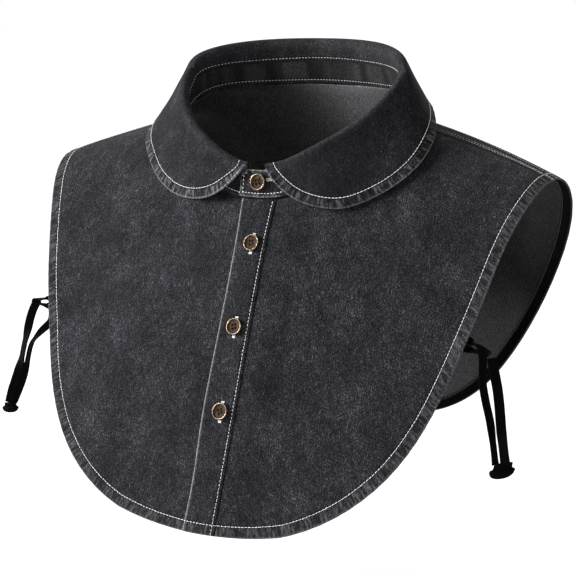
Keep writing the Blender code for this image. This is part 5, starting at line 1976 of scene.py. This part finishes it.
# ---- Studio --------------------------------------------------------------------------
@dataclass(frozen=True)
class Studio:
    """A pale floor, soft lights and the camera."""

    azimuth: float = math.radians(31)
    elevation: float = math.radians(10)
    distance: float = 1.140
    lens: float = 102.0
    sensor: float = 36.0
    target_right: float = -0.0170
    target_up: float = -0.1254
    floor_drop: float = 0.30
    front_light: float = 0.16  # of the white wall behind

    def camera(self) -> None:
        """The camera at the set angle."""
        right = Vector((math.cos(self.azimuth), math.sin(self.azimuth), 0.0))
        level = Vector((-right.y, right.x, 0.0)) * math.cos(self.elevation)
        forward = level - Vector((0.0, 0.0, math.sin(self.elevation)))
        target = right * self.target_right + Vector((0.0, 0.0, self.target_up))
        data = bpy.data.cameras.new("camera")
        data.lens, data.sensor_width = self.lens, self.sensor
        data.clip_start, data.clip_end = 0.05, 20.0
        camera = link(data, "camera")
        camera.location = target - forward * self.distance
        camera.rotation_euler = forward.to_track_quat("-Z", "Y").to_euler()
        bpy.context.scene.camera = camera

    def light(self, name: str, place: Spot, size: float, power: float) -> None:
        """A square soft light aimed at the collar's middle."""
        data = bpy.data.lights.new(name, "AREA")
        data.size, data.energy = size, power
        lamp = link(data, name)
        lamp.location = place
        aim = Vector((0.0, -0.05, -0.10)) - Vector(place)
        lamp.rotation_euler = aim.to_track_quat("-Z", "Y").to_euler()

    def build(self) -> None:
        """Floor, world, lights and colour management."""
        scene = bpy.context.scene
        scene.view_settings.view_transform = "Standard"
        scene.world = world = bpy.data.worlds.new("studio")
        world.use_nodes = True
        add = partial(add_node, world.node_tree)
        backward = add("ShaderNodeSeparateXYZ", (add(PLACE, out="Generated"),), 1)
        strength = add(RANGE, (backward, 0.0, 0.45, self.front_light, 1.0))
        sky = {"Color": linear("#FFFFFF"), "Strength": strength}
        fill(world.node_tree.nodes["Background"], sky)
        work, low = bmesh.new(), Matrix.Translation((0.0, 0.0, -self.floor_drop))
        bmesh.ops.create_grid(work, x_segments=1, y_segments=1, size=30.0, matrix=low)
        paper, shader, _ = new_material("matt_white_paper")
        fill(shader, {"Base Color": linear("#7C7C7C"), "Roughness": 0.9})
        fill(shader, {"Emission Color": linear("#FFFFFF"), "Emission Strength": 0.9})
        link(mesh_from(work, "floor", paper), "floor")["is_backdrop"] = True
        self.light("key", (-1.42, -0.92, 0.52), 0.75, 96.0)
        self.light("fill", (0.5, -1.6, 0.1), 0.8, 8.0)
        self.light("rim", (0.2, 1.1, 1.3), 0.8, 8.0)


# ---- The collar ----------------------------------------------------------------------
# routes of the strands, in tenths of a millimetre
LEFT_REAR = (
    (1702, -932, -1319), (1715, -934, -1351), (1720, -931, -1386), (1720, -926, -1441),
    (1718, -920, -1530), (1723, -912, -1590), (1740, -907, -1674), (1766, -904, -1780),
    (1790, -903, -1927), (1806, -903, -2040),
)
LEFT_FORE = (
    (1776, -926, -1377), (1791, -928, -1439), (1805, -928, -1500), (1819, -929, -1560),
    (1832, -928, -1648), (1841, -926, -1737), (1850, -925, -1823), (1862, -924, -1908),
    (1870, -923, -1965), (1880, -922, -2031),
)
RIGHT_FORE = (
    (-1680, -950, -1343), (-1697, -952, -1378), (-1725, -947, -1420), (-1761, -935, -1482),
    (-1787, -928, -1546), (-1813, -925, -1621), (-1840, -924, -1708), (-1868, -923, -1809),
    (-1897, -922, -1880), (-1932, -921, -1962), (-1966, -920, -2040), (-1996, -919, -2134),
)
RIGHT_REAR = (
    (-1650, -846, -1375), (-1630, -854, -1415), (-1620, -863, -1463), (-1630, -869, -1509),
    (-1667, -874, -1546), (-1713, -876, -1585), (-1764, -876, -1636), (-1798, -875, -1671),
    (-1820, -875, -1715), (-1834, -875, -1758), (-1851, -875, -1819), (-1872, -875, -1879),
    (-1902, -876, -1963), (-1946, -878, -2059), (-1987, -881, -2139),
)
LEFT_CREASES = (
    Crease(0.030, 0.120, 0.070, 0.190, 0.010, 0.9 * MM),
    Crease(0.110, 0.060, 0.135, 0.170, 0.014, 1.0 * MM),
    Crease(0.060, 0.210, 0.120, 0.235, 0.010, -0.8 * MM),
)
RIGHT_CREASES = (
    Crease(-0.040, 0.150, -0.090, 0.215, 0.011, 0.9 * MM),
    Crease(-0.120, 0.070, -0.140, 0.170, 0.013, -0.9 * MM),
)
ROW = StitchKind(radius=0.21 * MM)
FINE = StitchKind(2.2 * MM, 1.5 * MM, 0.17 * MM, 0.14 * MM)
THIN = StitchKind(2.2 * MM, 1.5 * MM, 0.135 * MM, 0.12 * MM)
BAND_INNER = StitchKind(length=1.2 * MM, radius=0.24 * MM, lift=0.16 * MM)
LEAF_ROW = StitchKind(length=1.9 * MM, radius=0.21 * MM)
HOLE = StitchKind(0.42 * MM, 0.95 * MM, 0.19 * MM, 0.12 * MM, Lay.ACROSS, 0.12)
BAND_HOLE = StitchKind(0.4 * MM, 1.0 * MM, 0.2 * MM, 0.15 * MM, Lay.ACROSS, 0.12)
TACK = StitchKind(0.4 * MM, 1.3 * MM, 0.24 * MM, 0.2 * MM, Lay.ACROSS, 0.15)


@dataclass
class DenimCollar:
    """The whole collar, built piece by piece on the worn form."""

    finishes: Finishes
    form: WornForm = WornForm()
    button_places: Pairs = ((0.0062, 0.1319), (0.0053, 0.1872), (0.0059, 0.2422))
    neck_button_turn: float = math.radians(-1.85)
    band_share: float = 0.62
    stitches: StitchTree = field(default_factory=StitchTree)

    def settle(self, piece: Object, slot: str, node: str) -> Object:
        """Makes a piece ride on the collar and hides the solid it stands for."""
        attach(piece, "root")
        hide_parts(node)
        LOG.info("%s: %d faces", piece.name, len(piece.data.polygons))
        return piece

    def cloth(
        self, piece: Object, slot: str, node: str, flat: tuple[float, float], area: float,
        held: str = "stretched",
    ) -> Object:
        """Settles a piece of cloth.

        Args:
            piece: The piece.
            slot: Its slot of material; not used.
            node: The solid it stands for.
            flat: Its width and length laid flat; not used.
            area: The area of its outline; not used.
            held: How it is held; not used.

        Returns:
            The piece.
        """
        self.settle(piece, slot, node)
        return piece

    def sewn(
        self, name: str, lines: Sequence[Line], kind: StitchKind, thread: Material, seed: int
    ) -> None:
        """Sews a set of rows and makes them ride on the collar."""
        made = self.stitches.sew(name, lines, kind, thread, seed)
        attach(made, "root")
        LOG.info("%s: %d faces", made.name, len(made.data.polygons))

    def ties(self) -> None:
        """The loops at the hems, the four strands and their fused ends."""
        ends = {}
        for end in (
            TieEnd(Side.LEFT, (0.1853, -0.0912, -0.2075), 0.15, 1.0),
            TieEnd(Side.RIGHT, (-0.1999, -0.0902, -0.2182), 0.02, 0.76),
        ):
            piece = end.build(self.finishes)
            ends[end.side] = [self.settle(piece, "black_tape", f"tie_end_{end.side.name.lower()}")]
        for strand in (
            TieStrand(Side.LEFT, "rear", 5.0 * MM, LEFT_REAR, 35, (0.82, 0.92)),
            TieStrand(Side.LEFT, "fore", 6.2 * MM, LEFT_FORE, -30, (0.80, 0.90)),
            TieStrand(Side.RIGHT, "fore", 6.0 * MM, RIGHT_FORE, -50, (0.42, 0.54)),
            TieStrand(Side.RIGHT, "rear", 5.6 * MM, RIGHT_REAR, 62, (0.42, 0.58)),
        ):
            node = f"tie_{strand.side.name.lower()}_{strand.place}"
            piece = self.settle(strand.build(self.finishes), "black_tape", node)
            strand.declare(piece, ends.pop(strand.side, []))  # a side's end goes with its first
        for loop in (
            SideLoop(self.form, Side.LEFT, 0.1415, (0.1742, -0.0888, -0.1362)),
            SideLoop(self.form, Side.RIGHT, 0.1465, (-0.1768, -0.0884, -0.1374)),
        ):
            node = f"side_loop_{loop.side.name.lower()}"
            self.settle(loop.build(self.finishes), "black_tape", node)

    def fronts(self) -> None:
        """Both fronts and the placket, with their rows of stitches."""
        made = self.finishes
        right = FrontBib(
            self.form, "right_front", TurnedEdge(seed=11), side=-1.0, first_out=-0.0140,
            creases=RIGHT_CREASES,
        )
        left = FrontBib(
            self.form, "left_front", TurnedEdge(seed=1), lap=1.7 * MM, creases=LEFT_CREASES
        )
        for front, node, seed in ((left, "front_left", 3), (right, "front_right", 5)):
            piece = front.build(made)
            self.cloth(piece, "washed_black_denim", node, (0.205, 0.300), 0.046)
            hem = seated(piece, front.hem_line(front.edge.width), 0.10 * MM)
            self.sewn(f"{front.name}_hem_stitches", [hem], ROW, made.thread, seed)
            rows = [
                seated(piece, front.shoulder_line(at_neck * MM, at_tip * MM), 0.08 * MM)
                for at_neck, at_tip in ((8.0, 3.6), (11.0, 5.2))
            ]
            name = f"{front.name}_shoulder_stitches"
            self.sewn(name, rows, THIN, made.shaded_thread, seed + 1)
        placket = Placket(self.form, left)
        self.strip = placket.build(made)
        self.cloth(self.strip, "washed_black_denim", "placket", (0.024, 0.255), 0.0060)
        row = placket.line(placket.stitch_out, np.linspace(0.01, 0.995, 400))
        first = float(placket.free_out(np.array([1.0]))[0]) + 0.8 * MM
        outs = np.linspace(first, placket.sewn_out - 0.4 * MM, 40)
        bottom = self.form.outer_edge(placket.turns(outs)[1], True)[1] - placket.edge.width
        crossing = (self.form.cloth(outs, bottom), self.form.sheet_normal(outs, bottom))
        rows = [seated(self.strip, line, 0.10 * MM) for line in (row, crossing)]
        self.sewn("placket_stitches", rows, StitchKind(length=1.5 * MM), made.thread, 9)
        self.buttonholes()

    def on_strip(self, out: Array, down: Array, lift: float = 0.0) -> Line:
        """Points and directions on the placket, by out and down."""
        line = (self.form.sheet(out, down), self.form.sheet_normal(out, down))
        return seated(self.strip, line, lift)

    def buttonholes(self) -> None:
        """Upright buttonholes under the placket's buttons, worked with close thread."""
        lines, tacks = [], []
        for middle, down in self.button_places:
            for side in (-0.55 * MM, 0.55 * MM):
                along = np.linspace(-6.2 * MM, 6.2 * MM, 40)
                out = np.full_like(along, middle + side)
                lines.append(self.on_strip(out, down + along, 0.06 * MM))
            for end in (-6.1 * MM, 6.5 * MM):
                out = middle + np.linspace(-0.9 * MM, 0.9 * MM, 24)
                tacks.append(self.on_strip(out, np.full_like(out, down + end), 0.10 * MM))
        self.sewn("placket_buttonholes", lines, HOLE, self.finishes.shaded_thread, 17)
        self.sewn("placket_bar_tacks", tacks, TACK, self.finishes.thread, 19)

    def back(self) -> None:
        """The back and its facing, with their rows of stitches."""
        made, margin = self.finishes, -2.0 * MM
        back = BackBib(
            self.form, "back_bib", TurnedEdge(rope_height=0.30 * MM, seed=21), in_front=False,
            columns=640, body_rows=24, edge_points=2600,
        )
        piece = back.build(made)
        self.cloth(piece, "washed_black_denim", "back", (0.380, 0.280), 0.078)
        hem = seated(piece, back.hem_line(back.edge.width), 0.10 * MM)
        self.sewn("back_hem_stitches", [hem], ROW, made.thread, 13)
        rows = [
            seated(piece, back.shoulder_line(margin, margin, side), 0.05 * MM)
            for side in (1.0, -1.0)
        ]
        self.sewn("back_shoulder_stitches", rows, FINE, made.shaded_thread, 14)
        facing = back.facing(made)
        self.cloth(facing, "black_facing", "back_facing", (0.0130, 0.705), 0.0043)
        inner = back.hem_line(back.facing_width - 1.0 * MM, inside=True)
        inner = seated(facing, inner, 0.05 * MM)
        self.sewn("facing_stitches", [inner], FINE, made.dark_thread, 15)

    def collar(self) -> None:
        """Band and leaf, with their rows of stitches, and the band's button."""
        made, ring = self.finishes, CollarRing(self.form)
        band, leaf = Neckband(ring), CollarLeaf(ring)
        piece = band.build(made)
        self.cloth(piece, "collar_denim", "neckband", (0.0205, 0.475), 0.0093)
        (first, last), clear = band.ends, 0.036  # radians that a row stays clear of an end
        turns = np.linspace(last - TURN, last - clear, 900)
        outside = (band.line(turns, ring.foot(turns) + band.stitch_inset), band.tab_line())
        rows = [seated(piece, line, 0.08 * MM) for line in outside]
        self.sewn("band_stitches", rows, StitchKind(length=1.35 * MM), made.thread, 23)
        turns = np.linspace(first + clear, first + TURN, 900)
        rows = [
            seated(piece, band.line(turns, rise, inside=True), 0.05 * MM)
            for rise in (ring.foot(turns) + 2.4 * MM, ring.band_height - 0.7 * MM)
        ]
        self.sewn("band_inner_stitches", rows, BAND_INNER, made.shaded_thread, 24)
        hole = np.linspace(TURN - 0.098, TURN - 0.150, 30)
        middle = ring.band_height * self.band_share
        bars = [
            seated(piece, band.line(hole, middle + 1.6 * MM + side), 0.08 * MM)
            for side in (-0.5 * MM, 0.5 * MM)
        ]
        self.sewn("band_buttonhole", bars, BAND_HOLE, made.shaded_thread, 25)
        fall = leaf.build(made)
        self.cloth(fall, "collar_denim", "collar_leaf", (0.070, 0.560), 0.0250, "folded")
        line = seated(fall, leaf.stitch_line(leaf.edge.width), 0.12 * MM)
        self.sewn("collar_stitches", [line], LEAF_ROW, made.thread, 27)
        at_button = band.line(np.array([TURN + self.neck_button_turn]), middle)
        self.button("neck_button", 1, seated(piece, at_button), 0.25)

    def button(self, name: str, number: int, line: Line, spin: float) -> None:
        """One button and its thread, at the first point of a line on the cloth."""
        button = Button(name, line[0][0], line[1][0], spin)
        body, thread = button.body(self.finishes), button.threads(self.finishes)
        self.settle(body, "aged_brass", f"button_{number}")
        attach(thread, "root")

    def placket_buttons(self) -> None:
        """The three buttons on the placket."""
        for number, spot in enumerate(self.button_places, start=2):
            line = self.on_strip(*np.array(spot)[:, None])
            self.button(f"front_button_{number - 1}", number, line, 0.1 * number)


def corners(bounds: Sequence[Sequence[float]]) -> list[list[float]]:
    """A box as plain lists of numbers."""
    return [[float(value) for value in corner] for corner in bounds]


def main() -> None:
    """Builds the collar and its setting."""
    logging.basicConfig(level=logging.INFO, format="%(name)s: %(message)s")
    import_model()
    solid_box = corners(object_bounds())
    studio = Studio()
    studio.camera()
    collar = DenimCollar(Finishes())
    collar.ties()
    collar.fronts()
    collar.back()
    collar.collar()
    collar.placket_buttons()
    studio.build()
    {"cad": solid_box, "visual": corners(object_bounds())}


if __name__ == "__main__":
    main()
